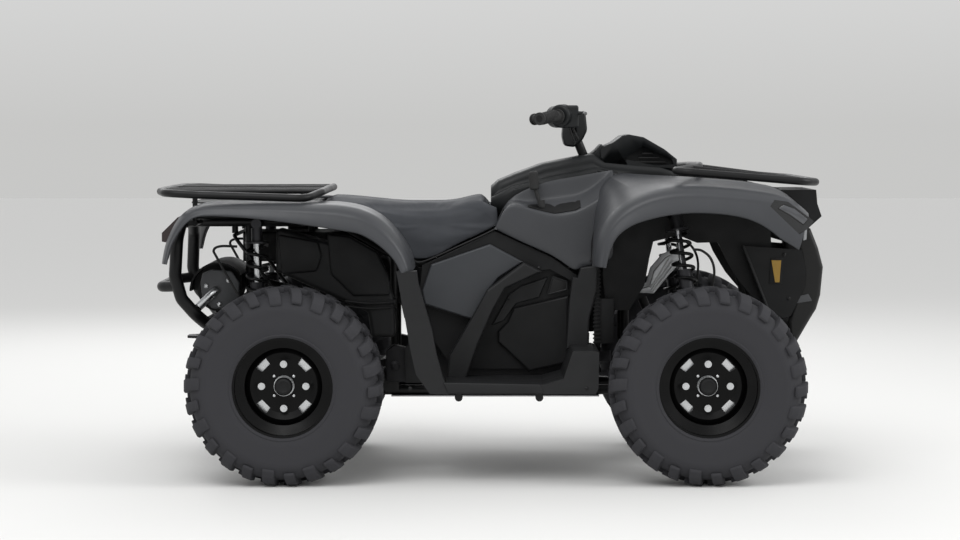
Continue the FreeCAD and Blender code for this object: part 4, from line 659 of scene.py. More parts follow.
def cord(route: Sequence[tuple], radius: float, sides: int = 10, steps: int = 6) -> bmesh.types.BMesh:
    """A round cord along a smooth route.

    Args:
        route: the points that it passes through.
        radius: the cord's radius.
        sides: how many faces go round it.
        steps: how many pieces lie between two points.

    Returns:
        The closed cord.
    """
    ends = [2.0 * Vector(route[0]) - Vector(route[1]), 2.0 * Vector(route[-1]) - Vector(route[-2])]
    posts = [ends[0]] + [Vector(point) for point in route] + [ends[1]]
    line = []
    for index in range(1, len(posts) - 2):
        before, start, end, after = posts[index - 1:index + 3]
        for step in range(steps):
            t = step / steps
            slope = (end - before) * t
            bend = (2.0 * before - 5.0 * start + 4.0 * end - after) * t * t
            twist = (3.0 * start - before - 3.0 * end + after) * t ** 3
            line.append(0.5 * (2.0 * start + slope + bend + twist))
    line.append(posts[-2])
    side = Vector((0.0, 1.0, 0.0))
    rows = []
    for index, point in enumerate(line):
        way = (line[min(index + 1, len(line) - 1)] - line[max(index - 1, 0)]).normalized()
        upright = abs(side.dot(way)) < 0.98
        side = (side - way * side.dot(way)).normalized() if upright else way.orthogonal().normalized()
        up = way.cross(side)
        angles = [math.tau * number / sides for number in range(sides)]
        rows.append([tuple(point + radius * (math.cos(a) * side + math.sin(a) * up)) for a in angles])
    return skin(rows, closed=True)


def along(shape: bmesh.types.BMesh, foot: tuple, top: tuple) -> bmesh.types.BMesh:
    """Move a body of revolution from the Y axis onto the line between two points.

    Args:
        shape: the body.
        foot: where its own zero goes.
        top: the point that its axis then runs through.

    Returns:
        The same body.
    """
    start, end = Vector(foot), Vector(top)
    turn = Vector((0.0, 1.0, 0.0)).rotation_difference(end - start).to_matrix().to_4x4()
    bmesh.ops.transform(shape, matrix=Matrix.Translation(start) @ turn, verts=shape.verts)
    return shape


def stud(place: tuple, radius: float, height: float, side: int = -1) -> bmesh.types.BMesh:
    """A round-headed fastener that stands out sideways.

    Args:
        place: the middle of its foot.
        radius: the head's radius.
        height: the head's height.
        side: 1 for a head that faces left, -1 for one that faces right.

    Returns:
        The fastener's head.
    """
    profile = [
        (0.0, 0.0), (0.0, radius), (height * 0.45, radius), (height * 0.85, radius * 0.72),
        (height, radius * 0.4), (height * 0.82, radius * 0.36), (height * 0.82, 0.0)]
    shape = turned(profile, 16)
    if side < 0:
        half_turn = Matrix.Rotation(math.pi, 3, "Z")
        bmesh.ops.rotate(shape, cent=(0.0, 0.0, 0.0), matrix=half_turn, verts=shape.verts)
    bmesh.ops.translate(shape, verts=shape.verts, vec=place)
    return shape


def rim(corners: Sequence[tuple], y: float, radius: float) -> bmesh.types.BMesh:
    """A thin round rim along a closed outline of (x, z) corners.

    Args:
        corners: the outline's corners.
        y: the plane that it lies in.
        radius: the rim's radius.

    Returns:
        The rim, one straight length for each side.
    """
    ends = [*corners[1:], corners[0]]
    return joined([
        cord([(a[0], y, a[1]), (b[0], y, b[1])], radius, sides=8, steps=2) for a, b in zip(corners, ends)])


@dataclass
class Tyre:
    """One knobbly tyre: carcass with its bead, side ridges, shoulder lugs and centre lugs."""

    corner: str
    axle_x: float
    track_half: float
    width: float
    side: int
    radius: float = 0.3062
    bead: float = 0.1529
    side_wall: tuple = (
        (0.0245, 0.0), (0.0150, 0.003), (0.0122, 0.009), (0.0137, 0.013), (0.0116, 0.020), (0.0099, 0.032),
        (0.0089, 0.046), (0.0083, 0.062), (0.0076, 0.078), (0.0070, 0.088), (0.0082, 0.0935),
        (0.0100, 0.101), (0.0160, 0.112), (0.0270, 0.123))
    lug_height: float = 0.017
    lugs: int = 26
    lug_width: float = 0.037
    lug_lean: float = 6.5
    lug_reach: float = 0.043
    long_lug_reach: float = 0.052
    short_share: float = 0.84
    centre_width: float = 0.030
    centre_depth: float = 0.024
    centre_lean: float = 9.0
    side_steps: int = 132

    def carcass(self) -> bmesh.types.BMesh:
        """The casing with a rim guard and two thin rings on each side wall.

        Returns:
            The closed ring.
        """
        half, base = self.width / 2.0, self.radius - self.lug_height
        wall = [(half - inset, self.bead + rise) for inset, rise in self.side_wall]
        wall += [(half - 0.0450, base - 0.003), (half * 0.30, base)]
        inner = [
            (half * 0.30, base - 0.012), (half - 0.050, base - 0.018), (half - 0.026, self.bead + 0.092),
            (half - 0.016, self.bead + 0.056), (half - 0.020, self.bead + 0.022), (half - 0.038, self.bead)]
        right = wall + [(-y, r) for y, r in wall[::-1]]
        left = [(-y, r) for y, r in inner[::-1]]
        return turned(right + left + inner, self.side_steps, closed=True)

    def lug(
            self, outline: list[tuple], width: float, lean: float,
            soften: float = 0.0028) -> bmesh.types.BMesh:
        """A tread block from its (y, radius) outline.

        Args:
            outline: the block's cross-section.
            width: its length round the tyre.
            lean: how far its outer end is swept round the tyre, in degrees.
            soften: the bevel's width.

        Returns:
            The block at the top of the tyre.
        """
        shape = bmesh.new()
        face = shape.faces.new([shape.verts.new((-width / 2.0, y, r)) for y, r in outline])
        grown = bmesh.ops.extrude_face_region(shape, geom=[face])["geom"]
        moved = [item for item in grown if isinstance(item, bmesh.types.BMVert)]
        bmesh.ops.translate(shape, verts=moved, vec=(width, 0.0, 0.0))
        bmesh.ops.recalc_face_normals(shape, faces=shape.faces)
        bmesh.ops.bevel(
            shape, geom=shape.edges[:], offset=soften, segments=2, affect="EDGES", profile=0.5, material=-1)
        for vert in shape.verts:
            turn = math.radians(lean) * (abs(vert.co.y) / (self.width / 2.0) - 0.5)
            vert.co = Matrix.Rotation(turn, 4, "Y") @ vert.co
        return shape

    def shoulder_outline(self, reach: float) -> list[tuple]:
        """The section of a shoulder lug.

        Args:
            reach: the radius down to which it runs on the side wall.

        Returns:
            Its (y, radius) points.
        """
        half, top = self.width / 2.0, self.radius
        return [
            (half * 0.42, top), (half - 0.044, top - 0.001), (half - 0.026, top - 0.009),
            (half - 0.0125, top - 0.025), (half - 0.0054, reach + 0.006), (half - 0.0080, reach - 0.001),
            (half - 0.0180, reach - 0.002), (half - 0.032, top - 0.040), (half - 0.050, top - 0.026),
            (half * 0.42, top - 0.021)]

    def centre_outline(self, start: float, end: float) -> list[tuple]:
        """The section of a centre lug between two distances from the tyre's middle."""
        foot = self.radius - self.centre_depth
        return [(start, self.radius), (end, self.radius), (end, foot), (start, foot)]

    def tread(self) -> list[bmesh.types.BMesh]:
        """All lugs, each side staggered by half a pitch.

        Returns:
            The turned copies of the lugs.
        """
        half = self.width / 2.0
        pitch = math.tau / self.lugs
        found = []
        for index in range(self.lugs):
            deep = self.radius - (self.long_lug_reach if index % 2 else self.lug_reach)
            wide = self.lug_width * (1.0 if index % 2 else self.short_share)
            for hand in (1, -1):
                turn = pitch * (index + (0.0 if hand > 0 else 0.5))
                shoulder = self.lug(self.shoulder_outline(deep), wide, self.lug_lean)
                centre = self.lug(
                    self.centre_outline(half * 0.05, half * 0.38), self.centre_width, self.centre_lean)
                row = [(shoulder, 0.0), (centre, 0.40 * pitch)]
                for block, shift in row:
                    if hand < 0:
                        bmesh.ops.scale(block, vec=(1.0, -1.0, 1.0), verts=block.verts)
                        bmesh.ops.reverse_faces(block, faces=block.faces)
                    rotation = Matrix.Rotation(turn + shift, 3, "Y")
                    bmesh.ops.rotate(block, cent=(0.0, 0.0, 0.0), matrix=rotation, verts=block.verts)
                    found.append(block)
        return found

    def build(self) -> None:
        """Make the tyre on its axle in place of the plain one."""
        shape = joined([self.carcass()] + self.tread())
        place = (self.axle_x, self.side * self.track_half, AXLE_HEIGHT)
        bmesh.ops.translate(shape, verts=shape.verts, vec=place)
        piece = Piece("knobbly_tyre_" + self.corner, TYRE_RUBBER, "tyre_rubber", "wheel_" + self.corner, 32.0)
        piece.make(shape, "tyre_" + self.corner)


@dataclass
class HubTrim:
    """Dark centre cap and small bolts on one wheel."""

    corner: str
    axle_x: float
    track_half: float
    width: float
    side: int
    cap_radius: float = 0.0295
    cap_depth: float = 0.088
    bolt_circle: float = 0.043
    bolt_radius: float = 0.0042
    bolts: int = 4

    def cap(self, face: float) -> bmesh.types.BMesh:
        """The centre cap.

        Args:
            face: the plane of the hub's nose, from the wheel's middle.

        Returns:
            The closed cap.
        """
        return turned([
            (face - 0.002, 0.0), (face - 0.002, self.cap_radius), (face + 0.022, self.cap_radius - 0.001),
            (face + 0.0285, self.cap_radius - 0.005), (face + 0.0305, self.cap_radius - 0.012),
            (face + 0.0292, self.cap_radius - 0.014), (face + 0.0295, 0.0)], 40)

    def ring_of_bolts(self, face: float) -> bmesh.types.BMesh:
        """The small bolts round the cap.

        Args:
            face: the plane of the hub's nose, from the wheel's middle.

        Returns:
            All bolts.
        """
        found = []
        profile = [
            (face, 0.0), (face, self.bolt_radius), (face + 0.004, self.bolt_radius), (face + 0.0048, 0.003),
            (face + 0.0048, 0.0)]
        for index in range(self.bolts):
            turn = Matrix.Rotation(math.radians(45.0 + 360.0 / self.bolts * index), 3, "Y")
            bolt = turned(profile, 12)
            bmesh.ops.translate(bolt, verts=bolt.verts, vec=(0.0, 0.0, self.bolt_circle))
            bmesh.ops.rotate(bolt, cent=(0.0, 0.0, 0.0), matrix=turn, verts=bolt.verts)
            found.append(bolt)
        return joined(found)

    def place(self, shape: bmesh.types.BMesh, piece: Piece) -> None:
        """Turn a shape to the wheel's outer side and set it on the axle.

        Args:
            shape: the shape, about the Y axis.
            piece: what it becomes.
        """
        if self.side < 0:
            half_turn = Matrix.Rotation(math.pi, 3, "Z")
            bmesh.ops.rotate(shape, cent=(0.0, 0.0, 0.0), matrix=half_turn, verts=shape.verts)
        spot = (self.axle_x, self.side * self.track_half, AXLE_HEIGHT)
        bmesh.ops.translate(shape, verts=shape.verts, vec=spot)
        piece.make(shape)

    def build(self) -> None:
        """Fit the cap over the hub's nose, with its bolts."""
        face = self.width / 2.0 - self.cap_depth
        wheel = "wheel_" + self.corner
        cap = Piece("centre_cap_" + self.corner, TRIM_PLASTIC, "dark_plastic", wheel)
        self.place(self.cap(face), cap)
        bolts = Piece("cap_bolts_" + self.corner, BRIGHT_STEEL, "hub_metal", wheel)
        self.place(self.ring_of_bolts(face), bolts)


def fender_row(axle_x: float, row: tuple, outline: list[tuple]) -> list[tuple]:
    """One rib of a fender in the vehicle's frame.

    Args:
        axle_x: the axle that the rib is measured from.
        row: the rib's (x, z, slope) in millimetres and degrees.
        outline: (y, n) points in metres and millimetres, n square to the slope.

    Returns:
        The rib's points in metres.
    """
    x, z, slope = row
    tilt = math.radians(slope)
    return [
        (axle_x + (x - n * math.sin(tilt)) / 1000.0, y, (z + n * math.cos(tilt)) / 1000.0)
        for y, n in outline]


def crease_fender(shape: bmesh.types.BMesh, rows: list[list[tuple]]) -> None:
    """Hold the crest and the fold of a fender's ribs while it is rounded.

    Args:
        shape: the fender's sheet.
        rows: its ribs, whose points 6 and 3 lie on the crest and the fold.
    """
    crest = {round(row[6][1], 4) for row in rows}
    fold = {round(row[3][1], 4) for row in rows}

    def hold(edge: bmesh.types.BMEdge) -> float:
        """How hard an edge is held."""
        sides = {round(vert.co.y, 4) for vert in edge.verts}
        return 1.0 if sides <= crest else 0.6 * (sides <= fold)

    crease_lines(shape, hold)


@dataclass
class FrontFenders:
    """Painted front fenders with a crisp side line and a recess for each headlamp."""

    inner: float = 0.2366
    lip: float = 0.5015
    gauge: float = 0.004
    ribs: tuple = (
        (-352, 676, 84, 24, 36, 8), (-348, 722, 80, 26, 40, 8), (-336, 786, 66, 30, 50, 8),
        (-292, 850, 46, 34, 66, 8), (-206, 904, 22, 36, 84, 20), (-100, 926, 6, 36, 84, 24),
        (0, 924, -2, 36, 80, 24), (90, 915, -6, 34, 80, 24), (150, 908, -8, 32, 88, 24),
        (200, 901, -10, 30, 106, 22), (240, 890, -16, 28, 118, 20), (268, 878, -21, 26, 124, 14),
        (300, 852, -18, 22, 118, 10), (313, 838, -17, 20, 115, 8))
    shoulders: tuple = (
        (-348, 682, 236.6), (-346, 730, 236.6), (-342, 792, 236.6), (-338, 866, 226), (-300, 966, 180),
        (-196, 954, 180), (-60, 950, 236.6))
    recess_floor: float = 0.2492
    recess: tuple = ((190, 862), (204, 882), (246, 876), (326, 816), (304, 790), (280, 776), (242, 812))

    def rows(self) -> list[list[tuple]]:
        """All ribs from the foot of the fender to its nose.

        Returns:
            Rows of points, inner edge first.
        """
        found = []
        for index, (x, z, slope, crease, drop, rise) in enumerate(self.ribs):
            outline = [
                (self.inner, rise), (self.inner + 0.08, rise * 0.8), (self.lip - 0.12, rise * 0.3),
                (self.lip - 0.052, 1.0), (self.lip - 0.026, -crease * 0.30),
                (self.lip - 0.012, -crease * 0.72), (self.lip - 0.0105, -crease),
                (self.lip - 0.004, -(crease + drop) / 2.0), (self.lip, -drop),
                (self.lip - 0.006, -drop - 2.0)]
            row = fender_row(FRONT_AXLE_X, (x, z, slope), outline)
            if index < len(self.shoulders):
                ahead, height, out = self.shoulders[index]
                top = Vector((FRONT_AXLE_X + ahead / 1000.0, out / 1000.0, height / 1000.0))
                row[:3] = [tuple(top.lerp(Vector(row[3]), share)) for share in (0.0, 0.4, 0.75)]
            found.append(row)
        return found

    def build(self) -> None:
        """Make both fenders and cut the lamp recesses."""
        shape = turned_out(skin(self.rows()), Vector((0.0, 0.3, 1.0)))
        crease_fender(shape, self.rows())
        thing = Piece("painted_front_fenders", FENDER_PAINT, "grey_plastic").make(shape, "front_fenders")
        add_smoothing(thing)
        add_wall(thing, self.gauge)
        outline = [(FRONT_AXLE_X + x / 1000.0, z / 1000.0) for x, z in self.recess]
        carve(thing, slab(outline, self.recess_floor, self.lip + 0.0285, 0.0))
        add_mirror(thing)


@dataclass
class RearFenders:
    """Painted rear fenders that fall to the foot boards in front and to the lamps behind."""

    inner: float = 0.2362
    lip: float = 0.5096
    gauge: float = 0.004
    ribs: tuple = (
        (-379, 684, 88, 14, 20, 280), (-370, 742, 82, 16, 22, 280), (-350, 786, 68, 18, 26, 278),
        (-329, 825, 56, 20, 30, 238), (-292, 858, 32, 20, 32, 236.2), (-238, 870, 4, 19, 34, 236.2),
        (-95, 871, 0, 22, 42, 236.2), (110, 869, -2, 32, 68, 236.2), (214, 864, -14, 38, 80, 236.2),
        (292, 832, -44, 34, 72, 236.2), (346, 776, -50, 28, 56, 236.2), (386, 716, -62, 24, 44, 236.2),
        (398, 664, -78, 20, 36, 236.2))

    def rows(self) -> list[list[tuple]]:
        """All ribs from the tail round to the foot boards.

        Returns:
            Rows of points, inner edge first.
        """
        found = []
        for x, z, slope, crease, drop, start in self.ribs:
            start = start / 1000.0
            outline = [
                (start, 4.0), ((start + self.lip) / 2.0 - 0.03, 4.0), (self.lip - 0.10, 3.0),
                (self.lip - 0.050, 0.5), (self.lip - 0.026, -crease * 0.32),
                (self.lip - 0.0105, -crease * 0.72), (self.lip - 0.0085, -crease),
                (self.lip - 0.003, -(crease + drop) / 2.0), (self.lip, -drop),
                (self.lip - 0.006, -drop - 2.0)]
            found.append(fender_row(REAR_AXLE_X, (x, z, slope), outline))
        return found

    def build(self) -> None:
        """Make both fenders."""
        shape = turned_out(skin(self.rows()), Vector((0.0, 0.3, 1.0)))
        crease_fender(shape, self.rows())
        thing = Piece("painted_rear_fenders", FENDER_PAINT, "grey_plastic").make(shape, "rear_fenders")
        add_mirror(thing)
        add_smoothing(thing)
        add_wall(thing, self.gauge)


@dataclass
class BodySides:
    """Painted sides of the tank cover, each with a sloping ledge, and a slotted gear gate on the right one.
    """

    wall_y: float = 0.236
    back_y: float = 0.176
    gauge: float = 0.0045
    gate_gauge: float = 0.0022
    gate_lift: float = 0.0012
    gate_stations: tuple[int, int] = (4, 10)
    notch_shares: tuple[float, float] = (0.10, 0.84)
    slot_shares: tuple[float, float] = (0.06, 0.97)
    stations: tuple = (
        (-656, 781, 784, 786, 788), (-643, 775, 815, 819, 823), (-618, 763, 858, 862, 866),
        (-590, 750, 865, 871, 889), (-552, 732, 852, 862, 908), (-510, 714, 838, 868, 925),
        (-466, 694, 828, 874, 936), (-430, 668, 832, 880, 942), (-400, 647, 839, 884, 947),
        (-384, 660, 846, 888, 950), (-345, 668, 866, 906, 957), (-312, 672, 889, 934, 963),
        (-280, 690, 912, 962, 968))

    def rows(self) -> list[list[tuple]]:
        """Points from the lower edge over the ledge to the top, station by station.

        Returns:
            Rows of points in metres.
        """
        found = []
        for x, low, ledge, back, top in self.stations:
            place = FRONT_AXLE_X + x / 1000.0
            rise = ledge - low
            heights = (low, low + 0.12 * rise, low + 0.6 * rise, ledge - 5, ledge, back, back + 5, top)
            inset = self.back_y - self.wall_y
            offsets = (-0.007, -0.001, 0.0, 0.0, -0.004, inset + 0.004, inset, inset - 0.004)
            found.append([
                (place, self.wall_y + shift, height / 1000.0) for shift, height in zip(offsets, heights)])
        return found

    def build(self) -> None:
        """Make both sides, and the gate in the right one."""
        shape = turned_out(skin(self.rows()), Vector((0.0, 1.0, 0.2)))
        piece = Piece("painted_body_sides", FENDER_PAINT, "grey_plastic", sharp_deg=60.0)
        thing = piece.make(shape, "body_sides")
        add_mirror(thing)
        add_smoothing(thing)
        add_wall(thing, self.gauge)
        self.gate()

    def gate(self) -> None:
        """A dark notched plate that lies on the right ledge round the gear lever."""
        rows = []
        first, last = self.gate_stations
        for index, (x, _, ledge, back, _) in enumerate(self.stations[first:last]):
            place = FRONT_AXLE_X + x / 1000.0
            near, far = self.notch_shares if index % 2 else self.slot_shares
            rows.append([
                (place, -(self.wall_y - share * (self.wall_y - self.back_y)),
                 (ledge + share * (back - ledge)) / 1000.0 + self.gate_lift) for share in (near, 0.5, far)])
        shape = turned_out(skin(rows), Vector((0.0, -0.3, 1.0)))
        bmesh.ops.subdivide_edges(shape, edges=shape.edges[:], cuts=3, use_grid_fill=True)
        thing = Piece("gear_gate", GATE_PLASTIC, "dark_plastic").make(shape)
        add_wall(thing, self.gate_gauge, 0.0005)


@dataclass
class Saddle:
    """Foam seat under vinyl: swollen by a pressure run and pinned along its hem."""

    voxel: float = 0.006
    smoothings: int = 3
    shrink: float = 0.0025
    pressure: float = 4.0
    frames: int = 20
    cap: float = 0.009
    hem_height: float = 0.795
    fill: float = 0.8

    def core(self) -> bpy.types.Object:
        """The seat's solid as an even mesh, a little smaller than it is.

        Returns:
            The object to swell.
        """
        shape = bmesh.new()
        shape.from_mesh(frame["nodes"]["seat"].data)
        bmesh.ops.remove_doubles(shape, verts=shape.verts, dist=0.0001)
        bmesh.ops.recalc_face_normals(shape, faces=shape.faces)
        thing = Piece("padded_seat", SEAT_VINYL, "seat_cover", sharp_deg=180.0).make(shape, "seat")
        even = thing.modifiers.new("even", "REMESH")
        even.mode = "VOXEL"
        even.voxel_size = self.voxel
        settle(thing)
        shape = bmesh.new()
        shape.from_mesh(thing.data)
        for _ in range(self.smoothings):
            bmesh.ops.smooth_vert(
                shape, verts=shape.verts, factor=0.5, use_axis_x=True, use_axis_y=True, use_axis_z=True)
        shape.normal_update()
        for vert in shape.verts:
            vert.co -= vert.normal * self.shrink
        shape.to_mesh(thing.data)
        shape.free()
        return thing

    def swell(self, thing: bpy.types.Object) -> None:
        """Blow the cover up from inside and hold back what moved too far.

        Args:
            thing: the seat's core.
        """
        before = [vert.co.copy() for vert in thing.data.vertices]
        pins = thing.vertex_groups.new(name="hem")
        low = [
            vert.index for vert in thing.data.vertices
            if vert.co.z < self.hem_height and vert.normal.z < -0.2]
        pins.add(low, 1.0, "REPLACE")
        cloth = thing.modifiers.new("cloth", "CLOTH")
        cloth.settings.use_pressure = True
        cloth.settings.uniform_pressure_force = self.pressure
        cloth.settings.effector_weights.gravity = 0.0
        cloth.settings.vertex_group_mass = pins.name
        cloth.settings.quality = 4
        cloth.point_cache.frame_start = 1
        cloth.point_cache.frame_end = self.frames
        for number in range(1, self.frames + 1):
            bpy.context.scene.frame_set(number)
        settle(thing)
        for vert, start in zip(thing.data.vertices, before):
            step = vert.co - start
            if step.length > self.cap:
                vert.co = start + step.normalized() * self.cap
        bpy.context.scene.frame_set(1)

    def build(self) -> None:
        """Make the seat in place of its plain solid."""
        thing = self.core()
        self.swell(thing)
        add_smoothing(thing, 1)
        thing.data.shade_smooth()


@dataclass
class DamperRods:
    """Bright piston rods over the plain ones of the four dampers."""

    radius: float = 0.0104
    bore: float = 0.0084
    start_share: float = 0.55
    seat_gap: float = 0.0625
    front: tuple = ((0.650, 0.320, 0.4172), (0.590, 0.260, 0.838))
    rear: tuple = ((-0.733, 0.272, 0.3883), (-0.737, 0.272, 0.800))

    def build(self) -> None:
        """Sleeve each rod between the damper's body and its upper seat."""
        found = []
        for foot, top in (self.front, self.rear):
            run = (Vector(top) - Vector(foot)).length
            low, high = run * self.start_share, run - self.seat_gap
            profile = [(low, self.bore), (low, self.radius), (high, self.radius), (high, self.bore)]
            rod = turned(profile, 24, closed=True)
            found.append(along(rod, foot, top))
        Piece("damper_rods", BRIGHT_STEEL, "damper_metal").make(mirrored(joined(found)))


@dataclass
class Hood:
    """The gauge hood and the console with window recesses and seams cut into their plain solids."""

    window: tuple = ((0.437, 1.003), (0.496, 1.045), (0.590, 1.003), (0.597, 0.985), (0.536, 0.981))
    seams: tuple = (
        ((0.214, 0.990), (0.196, 0.945)), ((0.312, 1.020), (0.350, 0.960)),
        ((0.080, 0.905), (0.196, 0.955)), ((0.196, 0.955), (0.330, 0.975)))
    ramp: tuple = ((0.322, 1.013), (0.346, 1.030), (0.366, 1.052), (0.372, 1.004), (0.330, 0.998))
    ramp_half: float = 0.096
    console_half: float = 0.150
    hood_half: float = 0.112
    window_depth: float = 0.030
    seam_width: float = 0.0034
    seam_depth: float = 0.0022
    slat_count: int = 3
    slat_pitch: float = 0.014
    slat_height: float = 0.005

    def merged(self, node: str, name: str) -> bpy.types.Object:
        """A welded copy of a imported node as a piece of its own.

        Args:
            node: the node that it copies and replaces.
            name: the piece's name.

        Returns:
            The piece.
        """
        shape = bmesh.new()
        shape.from_mesh(frame["nodes"][node].data)
        bmesh.ops.remove_doubles(shape, verts=shape.verts, dist=0.00002)
        bmesh.ops.recalc_face_normals(shape, faces=shape.faces)
        return Piece(name, CONSOLE_PLASTIC, "dark_plastic", sharp_deg=30.0).make(shape, node)

    def groove(self, start: tuple, end: tuple) -> bmesh.types.BMesh:
        """The cutting shape of one seam on both of the console's sides.

        Args:
            start: the seam's first (x, z) point.
            end: its last point.

        Returns:
            The closed shape.
        """
        way = Vector((end[0] - start[0], end[1] - start[1])).normalized() * self.seam_width / 2.0
        corners = [
            (start[0] - way.y, start[1] + way.x), (end[0] - way.y, end[1] + way.x),
            (end[0] + way.y, end[1] - way.x), (start[0] + way.y, start[1] - way.x)]
        return mirrored(slab(corners, self.console_half - self.seam_depth, self.console_half + 0.01, 0.0))

    def slats(self) -> bmesh.types.BMesh:
        """The slats behind the windows.

        Returns:
            The slats of both sides.
        """
        found = []
        for index in range(self.slat_count):
            low = 0.990 + self.slat_pitch * index
            back, nose = 0.012 * index, 0.022 * index
            high = low + self.slat_height
            corners = [(0.470 + back, low), (0.575 - nose, low), (0.572 - nose, high), (0.473 + back, high)]
            found.append(slab(corners, self.hood_half - 0.0305, self.hood_half - 0.014, 0.001))
        return mirrored(joined(found))

    def build(self) -> None:
        """Cut the windows and the seams, and add the ramp and the slats."""
        hood = self.merged("gauge_hood", "windowed_hood")
        recess = slab(self.window, self.hood_half - self.window_depth, self.hood_half + 0.02, 0.0)
        carve(hood, mirrored(recess))
        console = self.merged("console", "seamed_console")
        for start, end in self.seams:
            carve(console, self.groove(start, end))
        for thing in (hood, console):
            thing.data.set_sharp_from_angle(angle=math.radians(30.0))
        ramp = slab(self.ramp, -self.ramp_half, self.ramp_half, 0.005)
        Piece("hood_ramp", CONSOLE_PLASTIC, "dark_plastic").make(ramp)
        Piece("hood_slats", GATE_PLASTIC, "dark_plastic").make(self.slats())


@dataclass
class BarFittings:
    """Shroud, ribbed grips and cables on the handlebar."""

    shroud: tuple = (
        (0.243, 1.139), (0.313, 1.160), (0.320, 1.095), (0.304, 1.062), (0.278, 1.040), (0.246, 1.044),
        (0.238, 1.075))
    shroud_half: float = 0.058
    grip_end: tuple = (0.1575, 0.3840, 1.1285)
    grip_root: tuple = (0.2225, 0.2680, 1.1470)
    grip_radius: float = 0.0172
    grip_gauge: float = 0.004
    rings: int = 15
    cables: tuple = (
        ((0.262, 0.250, 1.120), (0.272, 0.200, 1.090), (0.285, 0.130, 1.070), (0.288, 0.050, 1.066)),
        ((0.250, 0.262, 1.118), (0.262, 0.215, 1.084), (0.274, 0.140, 1.058), (0.280, 0.050, 1.052)))
    cable_radii: tuple[float, float] = (0.0038, 0.0032)

    def grip(self) -> bmesh.types.BMesh:
        """The left grip's sleeve with its rings.

        Returns:
            The closed sleeve.
        """
        run = (Vector(self.grip_root) - Vector(self.grip_end)).length
        valley, crest = self.grip_radius - 0.0008, self.grip_radius + 0.0012
        bore = self.grip_radius - self.grip_gauge
        step = run * 0.62 / self.rings
        profile = [(run * 0.10, bore)]
        for index in range(self.rings):
            low = run * (0.12 + 0.62 * index / self.rings)
            profile += [
                (low, valley), (low + step * 0.15, crest), (low + step * 0.60, crest),
                (low + step * 0.75, valley)]
        profile.append((run * 0.76, bore))
        return along(turned(profile, 28), self.grip_end, self.grip_root)

    def build(self) -> None:
        """Make all fittings; they turn with the bar."""
        shape = slab(self.shroud, -self.shroud_half, self.shroud_half, 0.009, 4)
        Piece("bar_shroud", CONSOLE_PLASTIC, "dark_plastic", "steering").make(shape)
        Piece("ribbed_grips", GRIP_RUBBER, "grip_rubber", "steering").make(mirrored(self.grip()))
        cables = [cord(route, radius) for route, radius in zip(self.cables, self.cable_radii)]
        Piece("bar_cables", BOOT_RUBBER, "boot_rubber", "steering").make(mirrored(joined(cables)))


